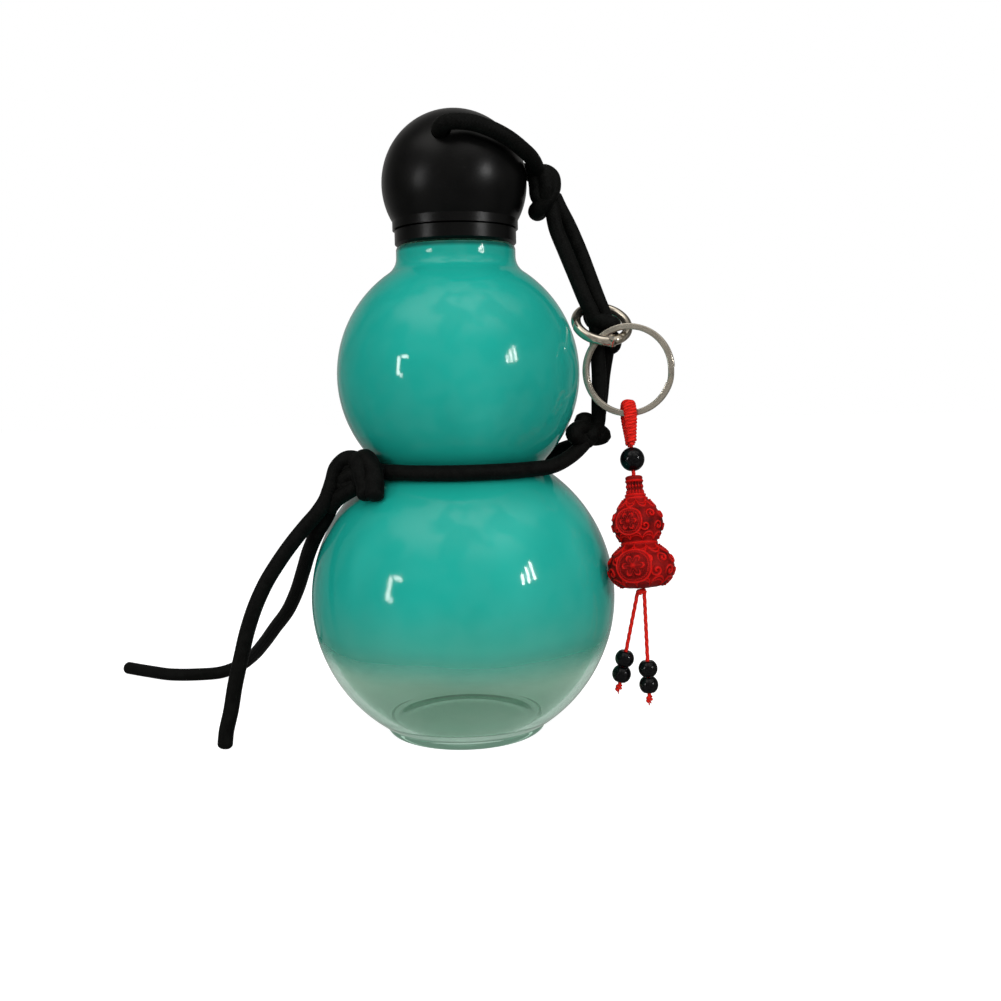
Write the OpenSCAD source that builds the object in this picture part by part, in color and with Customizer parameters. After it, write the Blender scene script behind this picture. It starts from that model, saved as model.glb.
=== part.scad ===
// Gourd-shaped glass water flask with a ball cap on a cord lanyard.
// A spring-gate ring in the lanyard holds a split ring and a small red gourd charm.
// Millimetres, +Z up. The origin is the centre of the flat foot, and the front is -Y.

/* [Glass flask] */
// Diameter of the lower bulb
lower_bulb_d = 95; // [90:0.5:95.5]
// Diameter of the upper bulb
upper_bulb_d = 74.6; // [70:0.2:74.8]
// Distance between the centres of the two bulbs
bulb_spacing = 69.3; // [67:0.1:71]
// Thickness of the glass wall
glass_wall = 2.3; // [1.6:0.1:3]
// Thickness of the glass under the water
base_thick = 4; // [3:0.2:7]
// Diameter of the flat foot
foot_d = 50.4; // [42:0.2:56]
// Height of the foot's short upright band
foot_h = 2.2; // [1.4:0.1:4]
// Radius of the hollow fillet at the waist
waist_fillet = 3; // [1:0.5:4]
// Radius of the hollow fillet under the neck
shoulder_fillet = 6; // [3:0.5:7]
// Diameter of the neck under the cap
neck_d = 36.4; // [35:0.2:38]
// Height of the cap's seat above the top of the upper bulb
neck_rise = 1.5; // [0.8:0.1:3]
// Outer diameter of the finish that the cap screws on
finish_d = 29; // [27.4:0.2:30]
// Height of the finish above the cap's seat
finish_h = 13.4; // [11:0.2:14]
// Diameter of the mouth
mouth_d = 24; // [18:0.5:24.5]

/* [Ball cap] */
// Diameter of the ball
ball_d = 44.2; // [43:0.1:46]
// Height of the ball's centre above the cap's seat
ball_rise = 18.8; // [18:0.1:20]
// Thickness of the ball's shell
cap_wall = 2.5; // [1.8:0.1:3]
// Diameter of the collar's upper band
band_d = 38.4; // [38:0.1:40]
// Diameter of the collar's lower band
collar_d = 37.2; // [36.8:0.1:38]
// Height of the collar, both bands
collar_h = 8; // [7:0.2:9]
// Diameter of the two cord holes
cord_hole_d = 6; // [5.4:0.1:7]
// Height of the cord holes above the ball's centre
cord_hole_rise = 12.2; // [10:0.1:13]
// Angle by which the cord holes are turned from front to back
cord_hole_turn = 10.5; // [0:0.5:20]
// Outer diameter of the screw liner
liner_d = 34.6; // [34:0.1:34.8]
// Thickness of the screw liner's wall
liner_wall = 1.3; // [1:0.1:1.4]
// Thickness of the silicone seal
seal_thick = 1.3; // [0.8:0.1:1.6]

/* [Lanyard] */
// Diameter of the black cord
cord_d = 4.6; // [4:0.1:4.8]

/* [Spring-gate ring] */
// Diameter of the ring's centre line
clip_d = 16.2; // [16:0.1:17]
// Diameter of the ring's wire
clip_wire_d = 2.9; // [2.6:0.1:3]
// Diameter of the gate's wire
gate_wire_d = 3.1; // [2.8:0.1:3.2]
// Angle of the ring that the gate takes up
gate_span = 103; // [90:1:110]
// Diameter of the gate's hinge pin
gate_pin_d = 0.9; // [0.7:0.05:1.1]
// Thickness of the gate's tongue between the ring's ears
tongue_t = 0.9; // [0.7:0.05:1.1]
// Diameter of the return spring
spring_d = 1.4; // [1.2:0.05:1.5]
// Diameter of the return spring's wire
spring_wire_d = 0.3; // [0.2:0.05:0.35]
// Turns of the return spring
spring_turns = 4; // [3:1:4]

/* [Split ring] */
// Diameter of the split ring's centre line
split_d = 26.2; // [26:0.1:26.4]
// Width of its flat wire, across the ring
split_wire_w = 1.8; // [1.4:0.1:2]
// Thickness of its flat wire, along the ring's axis
split_wire_t = 1.1; // [0.9:0.1:1.2]
// Gap between its two turns
split_gap = 0.45; // [0.42:0.01:0.5]

/* [Charm] */
// Diameter of the round bead above the gourd
bead_d = 7.4; // [6:0.1:7.6]
// Height of the gourd
gourd_h = 34; // [32:0.5:34.5]
// Diameter of the gourd's lower bulb
gourd_d = 20.4; // [18:0.2:21]
// Diameter of the gourd's upper bulb
gourd_top_d = 15.8; // [14:0.2:17]
// Diameter of the gourd's waist
gourd_waist_d = 11; // [9:0.2:12]
// Diameter of the gourd's neck
gourd_neck_d = 5.4; // [4.6:0.1:6]
// Diameter of the thin red cord
red_cord_d = 1.2; // [1:0.1:1.4]
// Diameter of the thread wound round the hanging loop
thread_d = 0.8; // [0.6:0.05:0.85]
// Turns of that thread
thread_turns = 16; // [12:1:16]
// Diameter of the four small beads
small_bead_d = 5.7; // [5:0.1:5.8]

/* [Hidden] */
$fn = 96;

// Clearances and small steps
seat_gap = 0.3;    // between pieces that move against each other
slip = 0.1;        // between pieces that are pushed together
cut = 1;           // how far a cutting shape runs past what it cuts
red = [0.62, 0.09, 0.09];
black_cord = [0.09, 0.09, 0.09];
black_cap = [0.07, 0.07, 0.07];
teal = [0.12, 0.62, 0.56];
nickel = [0.66, 0.63, 0.59];

// Flask heights
lower_r = lower_bulb_d / 2;
upper_r = upper_bulb_d / 2;
foot_r = foot_d / 2;
lower_z = foot_h + sqrt(lower_r * lower_r - foot_r * foot_r);
upper_z = lower_z + bulb_spacing;
seat_z = upper_z + upper_r + neck_rise;
mouth_z = seat_z + finish_h;
neck_r = neck_d / 2;
finish_r = finish_d / 2;
mouth_r = mouth_d / 2;
waist_c = touching(lower_z, lower_r, upper_z, upper_r, waist_fillet);
waist_r = waist_c.x - waist_fillet;
shoulder_c = [
    neck_r + shoulder_fillet,
    upper_z + sqrt(pow(upper_r + shoulder_fillet, 2) - pow(neck_r + shoulder_fillet, 2))
];

// Cap heights
ball_r = ball_d / 2;
ball_z = seat_z + ball_rise;
rim_z = seat_z + seat_gap;
seal_z = mouth_z + seat_gap;
liner_top_z = seal_z + seal_thick + liner_wall;
ledge_z = ball_z - 7.4;
hole_z = ball_z + cord_hole_rise;
edge_round = 0.8;
liner_room_r = liner_d / 2 + slip;
liner_room_wall = 1.2;

// Spring-gate ring: its own plane is XY, mirrored, turned and moved into the lanyard
clip_r = clip_d / 2;
clip_place = [44.2, -4.3, 126.5];
clip_roll = 9;
clip_tilt = 42;
hinge_at = 67;
ear_r = 1.4;
tongue_r = 1.25;
ear_clear = 0.25;
slot_clear = 0.1;
gate_hinge = clip_r * [cos(hinge_at), sin(hinge_at), 0];
gate_tip = clip_r * [cos(hinge_at + gate_span), sin(hinge_at + gate_span), 0];
gate_reach = norm(gate_tip - gate_hinge);
spring_pitch = spring_wire_d + 0.45;
spring_lean = 13;
spring_len = spring_turns * spring_pitch;

// Split ring: it hangs in the spring-gate ring, almost facing the front
split_r = split_d / 2;
split_place = [51.4, -9.65, 112.25];
split_turn = -20;
split_notch = -8;
split_step = 11;
split_pitch = split_wire_t + split_gap;

// Charm: it hangs from the split ring and leans out until the gourd rests on the lower bulb
loop_leg = 10.2;
bead_at = 14.2;
gourd_at = 19.3;
gourd_belly = 6.3;
charm_place = split_place - [0, 0, split_r];
charm_sway = 2.2;
charm_lean = lean_to_rest(0, 60, 24);
tassel_at = gourd_at + gourd_h + 0.4;
small_bead_h = 4.7;
tassel_spread = 0.9;
left_bead_at = [21.5, 26.4];
right_bead_at = [23.8, 28.7];
left_hang = [-10.8, 3];
right_hang = [2, -3];
tassel_end_gap = 4.4;

// Hanging loop: semi-axes of its section at the top and at the foot of its legs
loop_bend = 3.8;
loop_foot = 1.7;
loop_top_section = [2.15, 1.15];
loop_foot_section = [1.15, 0.95];

// Cord tubes
cord_sides = 10;
lobe_sides = 12;
waist_path_r = waist_r + cord_d / 2 + 0.4;
waist_path_z = waist_c.y - 0.2;

// Route of the front loop: out of the front hole, over the ball and round to the cap knot
cap_loop_front_route = [
    [-3.4, -18.6, 181.9], [-3.3, -20.3, 182.9], [-1.2, -21.6, 183.3], [4.9, -21.4, 182.6],
    [10.4, -20.1, 181.2], [15.4, -17.6, 179.3], [19.8, -13.8, 177], [23.6, -8.4, 174.6],
    [25.4, -2.6, 171.4]
];
// Route of the back loop: out of the back hole and round to the cap knot
cap_loop_back_route = [
    [3.4, 18.6, 181.9], [3.6, 20.4, 182.9], [6.6, 20.9, 183.2], [12, 19.4, 181.6],
    [16.8, 16.2, 179.2], [20.6, 11.8, 176.4], [23.8, 6.6, 173.6], [26.6, 2.2, 170.4]
];
side_cord_upper_front_route = [
    [29.6, -1, 162.4], [30.6, -1.6, 156.4], [33.4, -2.4, 148.8], [36.3, -3.7, 141.2],
    [39.1, -5.1, 133.8], [41.4, -4.8, 129]
];
side_cord_upper_back_route = [
    [31.8, 0.6, 163], [35.1, 1.8, 157], [38.4, 1.8, 149.4], [41.2, 0.2, 141.2],
    [43.6, -2.4, 133.6], [45.4, -2.3, 129]
];
side_cord_lower_front_route = [
    [42.4, -4.1, 126], [42.8, -2.7, 122.8], [43.1, -1.9, 118.4], [43.5, -1.9, 111.4],
    [43.3, -2.4, 103.6], [42.9, -2.4, 96]
];
side_cord_lower_back_route = [
    [46.4, -1.2, 125], [47.1, 0.8, 121.8], [46.5, 2.2, 117.6], [45.5, 2.8, 111.4],
    [44.6, 2.7, 103.6], [43.2, 2.6, 96]
];
// Angles between which the waist cords lie in the crease, and their ends at the waist knot
waist_front_from = -46;
waist_front_to = -146;
waist_back_from = 46;
waist_back_to = 210;
waist_front_start = [[37.6, -5.6, 89.4], [32.6, -11, 86], [27, -16.4, 84]];
waist_back_start = [[38.4, 3.4, 90.6], [33, 9.6, 87.6], [27.4, 15.6, 85]];
tail_front_route = [
    [-40.4, -15.2, 75.6], [-42.8, -15.4, 72], [-46.8, -14.9, 67.6], [-51.3, -15.2, 62.3], [-55.3, -15.8, 56.9],
    [-58.9, -16.6, 51.3], [-62, -17.4, 45], [-64.9, -18, 37], [-67.2, -18, 28.6],
    [-69.3, -18, 20.5], [-71, -18, 12.2], [-72.6, -18, 6], [-73.3, -18, 0.8]
];
tail_back_route = [
    [-38.8, -10.2, 75.6], [-40.5, -10.4, 71], [-43.9, -9.8, 65.4], [-47.9, -2.6, 58.2],
    [-51.2, 5, 50.6], [-54.6, 12.6, 43], [-59.2, 21, 34.8], [-65.6, 31.4, 26.6], [-72.4, 43, 17.9],
    [-79, 54, 10.6], [-85.9, 61.4, 5.2], [-93.2, 64, 2.4], [-102, 62.6, 2.3],
    [-111, 63.6, 2.3], [-121, 69, 2.3], [-132, 76, 2.3]
];

// Knots: each lobe is a start, an end and a thickness
cap_knot_lobes = [
    [[28.9, -1, 171.9], [29.4, 0, 166.6], 6.4],
    [[24.9, -1.6, 172.4], [25, -1.6, 166.4], 4.6],
    [[27.6, 2.2, 171], [27.4, 1.4, 165], 4.8],
    [[29.6, 0, 166.6], [31.2, 0, 161.8], 6],
    [[25.2, -1, 160.8], [28.4, -1, 164], 4.6]
];
ring_knot_lobes = [
    [[41.3, -4.3, 126.9], [48.1, -4.3, 125.9], 4.6],
    [[41.5, -4.7, 129], [42.4, -4.1, 126], 5],
    [[45.4, -2.3, 129], [46.4, -1.2, 125], 5]
];
waist_knot_lobes = [
    [[37.4, -2.6, 97], [41.6, -1.6, 92.4], 4.8],
    [[34, -9.4, 93.3], [40, -3, 92.4], 4.6],
    [[40, -2, 92.6], [44.6, -1, 92.2], 4.7],
    [[43, -0.6, 96.6], [41, 0, 92], 5.2],
    [[38.6, -3.6, 94.6], [38, -4.4, 90.6], 5],
    [[41, 2, 95.6], [39.2, 3.6, 91], 5]
];
tie_knot_lobes = [
    [[-27.2, -19.6, 86], [-27.8, -19, 82], 7.4],
    [[-24.6, -26.4, 77.7], [-28, -21.4, 82], 5.2],
    [[-34.6, -13.4, 86.2], [-29, -16.6, 86.4], 7],
    [[-37.2, -12.8, 82], [-34.4, -13.4, 86], 6.6],
    [[-40, -12.4, 76.2], [-37.2, -12.8, 82], 7.4],
    [[-33, -16, 80.6], [-29, -17.4, 81.6], 5.4]
];

// Geometry helpers
function unit(v) = v / norm(v);
function mix(a, b, t) = a + (b - a) * t;
function ease(t) = (1 - cos(180 * t)) / 2;

// Centre of the circle that touches two circles on the Z axis from outside
function touching(z1, r1, z2, r2, f) =
    let (a = r1 + f, b = r2 + f, d = z2 - z1, z = (a * a - b * b + d * d) / (2 * d))
    [sqrt(a * a - z * z), z1 + z];

// Point at a distance down the charm when it leans out by an angle
function charm_point(down, lean) =
    charm_place + down * [sin(charm_sway), -cos(charm_sway) * sin(lean), -cos(charm_sway) * cos(lean)];

// Lean at which the gourd's belly is one seat gap clear of the lower bulb
function lean_to_rest(low, high, steps) =
    let (
        half = (low + high) / 2,
        belly = charm_point(gourd_at + gourd_h - gourd_belly, half),
        apart = norm(belly - [0, 0, lower_z]) - lower_r - gourd_d / 2
    )
    steps == 0 ? half
    : apart < seat_gap ? lean_to_rest(half, high, steps - 1)
    : lean_to_rest(low, half, steps - 1);

// Direction of a route at one of its points, and a vector square to a direction
function ahead(p, i) = unit(p[min(i + 1, len(p) - 1)] - p[max(i - 1, 0)]);
function square_to(t) = unit(cross(t, abs(t.z) < 0.9 ? [0, 0, 1] : [1, 0, 0]));
function squared(s, t) = unit(s - (s * t) * t);

// Vectors square to a route, carried along it without twist
function carried(p) = [
    for (
        i = 0, s = square_to(ahead(p, 0));
        i < len(p);
        i = i + 1, s = squared(s, ahead(p, min(i, len(p) - 1)))
    ) s
];

// Least distance between turns of a wound wire, less its thickness
function least_gap(p, per_turn, thick) =
    min([
        for (i = [0 : len(p) - 1])
            for (j = [i + floor(per_turn / 2) : 1 : len(p) - 1])
                norm(p[j] - p[i])
    ]) - thick;

// Skin of rings with the same number of points, closed at both ends
module skin(rings) {
    n = len(rings[0]);
    last = (len(rings) - 1) * n;
    polyhedron(
        points = [for (r = rings) for (p = r) p],
        faces = [
            for (i = [0 : len(rings) - 2])
                for (k = [0 : n - 1])
                    for (f = [
                        [i * n + k, (i + 1) * n + k, (i + 1) * n + (k + 1) % n],
                        [i * n + k, (i + 1) * n + (k + 1) % n, i * n + (k + 1) % n]
                    ]) f,
            for (k = [1 : n - 2]) [0, k, k + 1],
            for (k = [1 : n - 2]) [last, last + k + 1, last + k]
        ]
    );
}

// Round tube along a route
module tube(p, d, sides) {
    s = carried(p);
    skin([
        for (i = [0 : len(p) - 1])
            let (t = ahead(p, i), u = squared(s[i], t), v = cross(t, u))
                [for (k = [0 : sides - 1])
                    p[i] + d / 2 * (cos(360 * k / sides) * u + sin(360 * k / sides) * v)]
    ]);
}

// Knot of rounded lobes, thicker all round by a given amount
module knot(lobes, grow = 0) {
    for (l = lobes)
        hull()
            for (end = [0, 1])
                translate(l[end]) sphere(d = l[2] + 2 * grow, $fn = lobe_sides);
}

// Cord along a route, its ends shaped to the knots that they run into
module cord(route, first, second, first_gap = 0.05, second_gap = 0.05) {
    color(black_cord) difference() {
        tube(route, cord_d, cord_sides);
        knot(first, first_gap);
        knot(second, second_gap);
    }
}

// Flask
module bulbs(inset) {
    difference() {
        union() {
            translate([0, lower_z]) circle(lower_r - inset);
            translate([0, upper_z]) circle(upper_r - inset);
            polygon([[0, lower_z], waist_c, [0, upper_z]]);
        }
        translate(waist_c) circle(waist_fillet + inset);
    }
}

module shoulder(inset, top_z) {
    difference() {
        polygon([
            [0, upper_z], shoulder_c, [neck_r - inset, shoulder_c.y],
            [neck_r - inset, top_z], [0, top_z]
        ]);
        translate(shoulder_c) circle(shoulder_fillet + inset);
    }
}

module flask_outside() {
    lip = 1;
    difference() {
        union() {
            bulbs(0);
            shoulder(0, seat_z - edge_round);
            polygon([
                [0, seat_z - edge_round - cut], [neck_r - edge_round, seat_z - edge_round - cut],
                [neck_r, seat_z - edge_round], [neck_r - edge_round, seat_z], [0, seat_z]
            ]);
            square([finish_r, mouth_z - lip]);
            square([finish_r - lip, mouth_z]);
            translate([finish_r - lip, mouth_z - lip]) circle(lip);
            square([foot_r, foot_h]);
        }
        translate([-ball_d * 2, -ball_d * 2]) square([ball_d * 4, ball_d * 2]);
        translate([-ball_d * 2, 0]) square([ball_d * 2, mouth_z + cut]);
    }
}

module flask_inside() {
    throat = seat_z - glass_wall;
    difference() {
        union() {
            bulbs(glass_wall);
            shoulder(glass_wall, throat - (neck_r - glass_wall - mouth_r));
            polygon([
                [0, upper_z], [mouth_r, upper_z], [neck_r - glass_wall, throat - (neck_r - glass_wall - mouth_r)],
                [mouth_r, throat], [mouth_r, mouth_z + cut], [0, mouth_z + cut]
            ]);
        }
        translate([-ball_d * 2, -ball_d * 2]) square([ball_d * 4, ball_d * 2 + base_thick]);
        translate([-ball_d * 2, 0]) square([ball_d * 2, mouth_z + 2 * cut]);
    }
}

module bottle_body() {
    color(teal, 0.6) rotate_extrude() difference() {
        flask_outside();
        flask_inside();
    }
}

// Cap
module cap_outline() {
    band_z = ball_z - sqrt(max(0, ball_r * ball_r - band_d * band_d / 4));
    groove_z = rim_z + collar_h * 0.62;
    union() {
        intersection() {
            translate([0, ball_z]) circle(ball_r);
            translate([0, groove_z]) square([ball_r, 2 * ball_d]);
        }
        translate([0, groove_z]) square([band_d / 2, max(band_z, groove_z + cut) + slip - groove_z]);
        translate([0, groove_z])
            square([liner_room_r + liner_room_wall, liner_top_z + liner_room_wall - groove_z]);
        polygon([
            [0, rim_z], [collar_d / 2 - edge_round, rim_z], [collar_d / 2, rim_z + edge_round],
            [collar_d / 2, groove_z - edge_round / 2], [collar_d / 2 - edge_round / 2, groove_z], [0, groove_z]
        ]);
    }
}

module cord_hole(d) {
    translate([0, 0, hole_z]) rotate([0, 0, -cord_hole_turn]) rotate([90, 0, 0])
        cylinder(d = d, h = 2 * ball_d, center = true);
}

module cap_shell() {
    color(black_cap) difference() {
        rotate_extrude() difference() {
            cap_outline();
            translate([0, rim_z - cut]) square([liner_room_r, liner_top_z + slip - rim_z + cut]);
            intersection() {
                translate([0, ball_z]) circle(ball_r - cap_wall);
                translate([0, ledge_z - cut / 2]) square([ball_r, ball_d]);
            }
        }
        cord_hole(cord_hole_d);
    }
}

module cap_liner() {
    flange_r = sqrt(pow(ball_r - cap_wall, 2) - pow(ball_z - ledge_z, 2)) - slip;
    color([0.16, 0.16, 0.16]) rotate_extrude() difference() {
        union() {
            translate([0, rim_z + seat_gap]) square([liner_d / 2, liner_top_z - rim_z - seat_gap]);
            translate([0, ledge_z]) square([flange_r, liner_wall]);
        }
        translate([0, rim_z]) square([liner_d / 2 - liner_wall, liner_top_z - liner_wall - rim_z]);
    }
}

module cap_seal() {
    color([0.85, 0.85, 0.83]) translate([0, 0, seal_z])
        cylinder(d = liner_d - 2 * liner_wall - 2 * slip, h = seal_thick);
}

module cap_cord() {
    color(black_cord) intersection() {
        cord_hole(cord_d);
        translate([0, 0, ball_z]) sphere(ball_r);
    }
}

// Lanyard
module cap_knot() {
    color(black_cord) knot(cap_knot_lobes);
}

module cap_loop_front() {
    cord(cap_loop_front_route, cap_knot_lobes, []);
}

module cap_loop_back() {
    cord(cap_loop_back_route, cap_knot_lobes, []);
}

module side_cord_upper_front() {
    cord(side_cord_upper_front_route, cap_knot_lobes, ring_knot_lobes, seat_gap);
}

module side_cord_upper_back() {
    cord(side_cord_upper_back_route, cap_knot_lobes, ring_knot_lobes, seat_gap);
}

module ring_knot() {
    color(black_cord) knot(ring_knot_lobes);
}

module side_cord_lower_front() {
    cord(side_cord_lower_front_route, ring_knot_lobes, waist_knot_lobes);
}

module side_cord_lower_back() {
    cord(side_cord_lower_back_route, ring_knot_lobes, waist_knot_lobes);
}

module waist_knot() {
    color(black_cord) knot(waist_knot_lobes);
}

// Points along the waist's crease, from one angle to another
function round_waist(from, to, steps) = [
    for (i = [0 : steps])
        let (a = mix(from, to, i / steps)) [waist_path_r * cos(a), waist_path_r * sin(a), waist_path_z]
];

module waist_cord_front() {
    cord(concat(waist_front_start, round_waist(waist_front_from, waist_front_to, 7)), waist_knot_lobes, tie_knot_lobes);
}

module waist_cord_back() {
    cord(concat(waist_back_start, round_waist(waist_back_from, waist_back_to, 11)), waist_knot_lobes, tie_knot_lobes);
}

module tie_knot() {
    color(black_cord) knot(tie_knot_lobes);
}

module tail_front() {
    cord(tail_front_route, tie_knot_lobes, []);
}

module tail_back() {
    cord(tail_back_route, tie_knot_lobes, []);
}

// Spring-gate ring
module in_clip_plane() {
    translate(clip_place) rotate([0, clip_roll, 0]) rotate([clip_tilt, 0, 0]) mirror([0, 1, 0]) children();
}

module wire_ring(d) {
    rotate_extrude() translate([clip_r, 0]) circle(d = d, $fn = 48);
}

// Wedge of the ring's disc between two angles, as high as the wire and more
module sector(from, to) {
    far = 2 * clip_d;
    translate([0, 0, -clip_wire_d])
        linear_extrude(2 * clip_wire_d)
            polygon([
                [0, 0], far * [cos(from), sin(from)],
                far * [cos((from + to) / 2), sin((from + to) / 2)], far * [cos(to), sin(to)]
            ]);
}

module at_hinge(h, r) {
    translate(gate_hinge) cylinder(r = r, h = h, center = true);
}

// Along the spring's blind hole, from a distance behind the hinge
module on_spring(from) {
    translate(gate_hinge) rotate([0, 0, hinge_at - 90 - spring_lean]) rotate([0, 90, 0])
        translate([0, 0, from]) children();
}

module clip_ring() {
    color(nickel) in_clip_plane() difference() {
        union() {
            difference() {
                wire_ring(clip_wire_d);
                intersection() {
                    sector(hinge_at, hinge_at + gate_span + 20);
                    at_hinge(2 * clip_wire_d, gate_reach + seat_gap / 2);
                }
            }
            at_hinge(clip_wire_d - 0.3, ear_r);
        }
        at_hinge(tongue_t + 2 * slot_clear, ear_r + ear_clear);
        at_hinge(2 * clip_wire_d, gate_pin_d / 2);
        on_spring(1)
            cylinder(d = spring_d + 2 * slip, h = tongue_r + 2 * slip + spring_len + spring_wire_d - 1);
    }
}

module clip_gate() {
    color(nickel) in_clip_plane() difference() {
        union() {
            difference() {
                intersection() {
                    wire_ring(gate_wire_d);
                    sector(hinge_at, hinge_at + gate_span + 20);
                    at_hinge(2 * clip_wire_d, gate_reach - seat_gap / 2);
                }
                at_hinge(2 * clip_wire_d, ear_r + ear_clear);
            }
            at_hinge(tongue_t, tongue_r);
            intersection() {
                wire_ring(clip_wire_d - 0.6);
                sector(hinge_at, hinge_at + 20);
                translate(gate_hinge) cube([clip_d, clip_d, tongue_t], center = true);
            }
        }
        at_hinge(2 * clip_wire_d, gate_pin_d / 2 + 0.05);
    }
}

module clip_pin() {
    color(nickel) in_clip_plane() at_hinge(clip_wire_d - 0.3, gate_pin_d / 2);
}

spring_path = [
    for (i = [0 : spring_turns * 8])
        let (a = i * 45, r = (spring_d - spring_wire_d) / 2)
            [r * cos(a), r * sin(a), i / 8 * spring_pitch]
];
echo("least gap between the return spring's turns", least_gap(spring_path, 8, spring_wire_d));

module clip_spring() {
    color([0.5, 0.5, 0.5]) in_clip_plane()
        on_spring(tongue_r + slip + spring_wire_d / 2) tube(spring_path, spring_wire_d, 6);
}

// Split ring: one flat wire wound twice, with a step from one turn to the next
function split_level(turn) =
    let (t = min(1, max(0, (turn * 360 - 360 + split_step) / (2 * split_step))))
    (ease(t) - 0.5) * split_pitch;
split_from = split_step / 360;
split_rings = 48;
split_path = [
    for (i = [0 : split_rings])
        let (turn = mix(split_from, 2 - split_from, i / split_rings), a = split_notch + turn * 360)
            [split_r * cos(a), split_r * sin(a), split_level(turn)]
];
echo("least gap between the split ring's turns", least_gap(split_path, 24, split_wire_t));

module split_ring() {
    bevel = 0.3;
    w = split_wire_w / 2;
    t = split_wire_t / 2;
    section = [
        [w, bevel - t], [w, t - bevel], [w - bevel, t], [bevel - w, t],
        [-w, t - bevel], [-w, bevel - t], [bevel - w, -t], [w - bevel, -t]
    ];
    color(nickel) translate(split_place) rotate([0, 0, split_turn]) rotate([90, 0, 0])
        skin([
            for (p = split_path)
                let (out = unit([p.x, p.y, 0]))
                    [for (s = section) p + s.x * out - [0, 0, s.y]]
        ]);
}

// Charm, modelled hanging straight down from its ring and then leaned out
module on_charm() {
    translate(charm_place) rotate([-charm_lean, 0, 0]) rotate([0, -charm_sway, 0]) children();
}

// Centre line of the hanging loop: up the front leg, over the split ring and down the back leg
loop_arc = PI * loop_bend;
loop_len = 2 * loop_leg + loop_arc;
function leg_point(down) =
    [0, mix(loop_bend, loop_foot, ease(min(1, down / loop_leg))), -down];
function loop_point(s) =
    s < loop_leg ? let (p = leg_point(loop_leg - s)) [0, -p.y, p.z]
    : s > loop_leg + loop_arc ? leg_point(s - loop_leg - loop_arc)
    : let (a = 180 * (s - loop_leg) / loop_arc) [0, -loop_bend * cos(a), loop_bend * sin(a)];
function loop_ahead(s) = unit(loop_point(min(s + 0.05, loop_len)) - loop_point(max(s - 0.05, 0)));
function loop_section(s) =
    mix(loop_foot_section, loop_top_section, ease(min(1, min(s, loop_len - s) / loop_leg)));
function round_loop(s, a, shrink) =
    let (h = loop_section(s) - [shrink, shrink])
    loop_point(s) + h.x * cos(a) * [1, 0, 0] + h.y * sin(a) * cross(loop_ahead(s), [1, 0, 0]);

module charm_loop() {
    under_thread = thread_d / 2 + slip;
    color(red) on_charm() skin([
        for (i = [0 : 18])
            [for (k = [0 : 9]) round_loop(loop_len * i / 18, 36 * k, under_thread)]
    ]);
}

thread_path = [
    for (i = [0 : thread_turns * 24])
        round_loop(mix(thread_d, loop_len - thread_d, i / (thread_turns * 24)), i * 15, 0)
];
echo("least gap between the loop's thread turns", least_gap(thread_path, 24, thread_d));

module charm_thread() {
    color([0.72, 0.11, 0.1]) on_charm() tube(thread_path, thread_d, 6);
}

module charm_bead() {
    color([0.05, 0.05, 0.07]) on_charm() translate([0, 0, -bead_at]) difference() {
        sphere(d = bead_d);
        cylinder(d = red_cord_d + 2 * slip, h = 2 * bead_d, center = true);
    }
}

module charm_cord() {
    top = loop_leg + slip;
    foot = gourd_at + gourd_h - slip;
    color(red) on_charm() translate([0, 0, -foot]) cylinder(d = red_cord_d, h = foot - top);
}

module charm_gourd() {
    neck = gourd_h * 0.17;
    crown = gourd_h * 0.4;
    waist = gourd_h * 0.605;
    belly = [gourd_d / 2 - gourd_belly, -gourd_h + gourd_belly];
    color(red) on_charm() translate([0, 0, -gourd_at]) difference() {
        rotate_extrude() polygon(concat(
            [
                [0, 0], [gourd_neck_d / 2 + 0.1, 0], [gourd_neck_d / 2 + 0.1, -1],
                [gourd_neck_d / 2 - 0.1, -1.4], [gourd_neck_d / 2, -neck], [gourd_neck_d / 2 + 1.4, -neck - 1.6],
                [gourd_top_d / 2 - 0.5, -crown + 0.9], [gourd_top_d / 2, -crown - 0.2],
                [gourd_top_d / 2 - 0.4, -crown - 1.4], [gourd_waist_d / 2, -waist + 0.4],
                [gourd_waist_d / 2, -waist - 0.2]
            ],
            [for (a = [60 : -15 : -90]) belly + gourd_belly * [cos(a), sin(a)]],
            [[0, -gourd_h]]
        ));
        translate([0, 0, -gourd_h - cut]) cylinder(d = red_cord_d + 2 * slip, h = gourd_h + 2 * cut);
    }
}

// Tassels: a thin cord with two beads and a knotted end, hung from the foot of the gourd
module on_tassel(side, hang) {
    translate(charm_point(tassel_at, charm_lean) + [side * tassel_spread - 0.6, 0, 0])
        rotate([hang[1], -hang[0], 0]) children();
}

module tassel_cord(side, hang, beads) {
    color(red) on_tassel(side, hang) {
        translate([0, 0, -beads[1] - tassel_end_gap])
            cylinder(d = red_cord_d, h = beads[1] + tassel_end_gap - 1.5 * slip);
    }
}

module tassel_bead(side, hang, down) {
    color([0.05, 0.05, 0.07]) on_tassel(side, hang) translate([0, 0, -down]) difference() {
        intersection() {
            sphere(d = small_bead_d);
            cylinder(d = 2 * small_bead_d, h = small_bead_h, center = true);
        }
        cylinder(d = red_cord_d + 2 * slip, h = 2 * small_bead_d, center = true);
    }
}

module tassel_end(side, hang, beads) {
    color(red) on_tassel(side, hang) translate([0, 0, -beads[1] - tassel_end_gap]) difference() {
        sphere(d = 2.4);
        cylinder(d = red_cord_d + 2 * slip, h = 3);
    }
}

module tassel_cord_left() {
    tassel_cord(-1, left_hang, left_bead_at);
}

module tassel_bead_left_upper() {
    tassel_bead(-1, left_hang, left_bead_at[0]);
}

module tassel_bead_left_lower() {
    tassel_bead(-1, left_hang, left_bead_at[1]);
}

module tassel_end_left() {
    tassel_end(-1, left_hang, left_bead_at);
}

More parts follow.
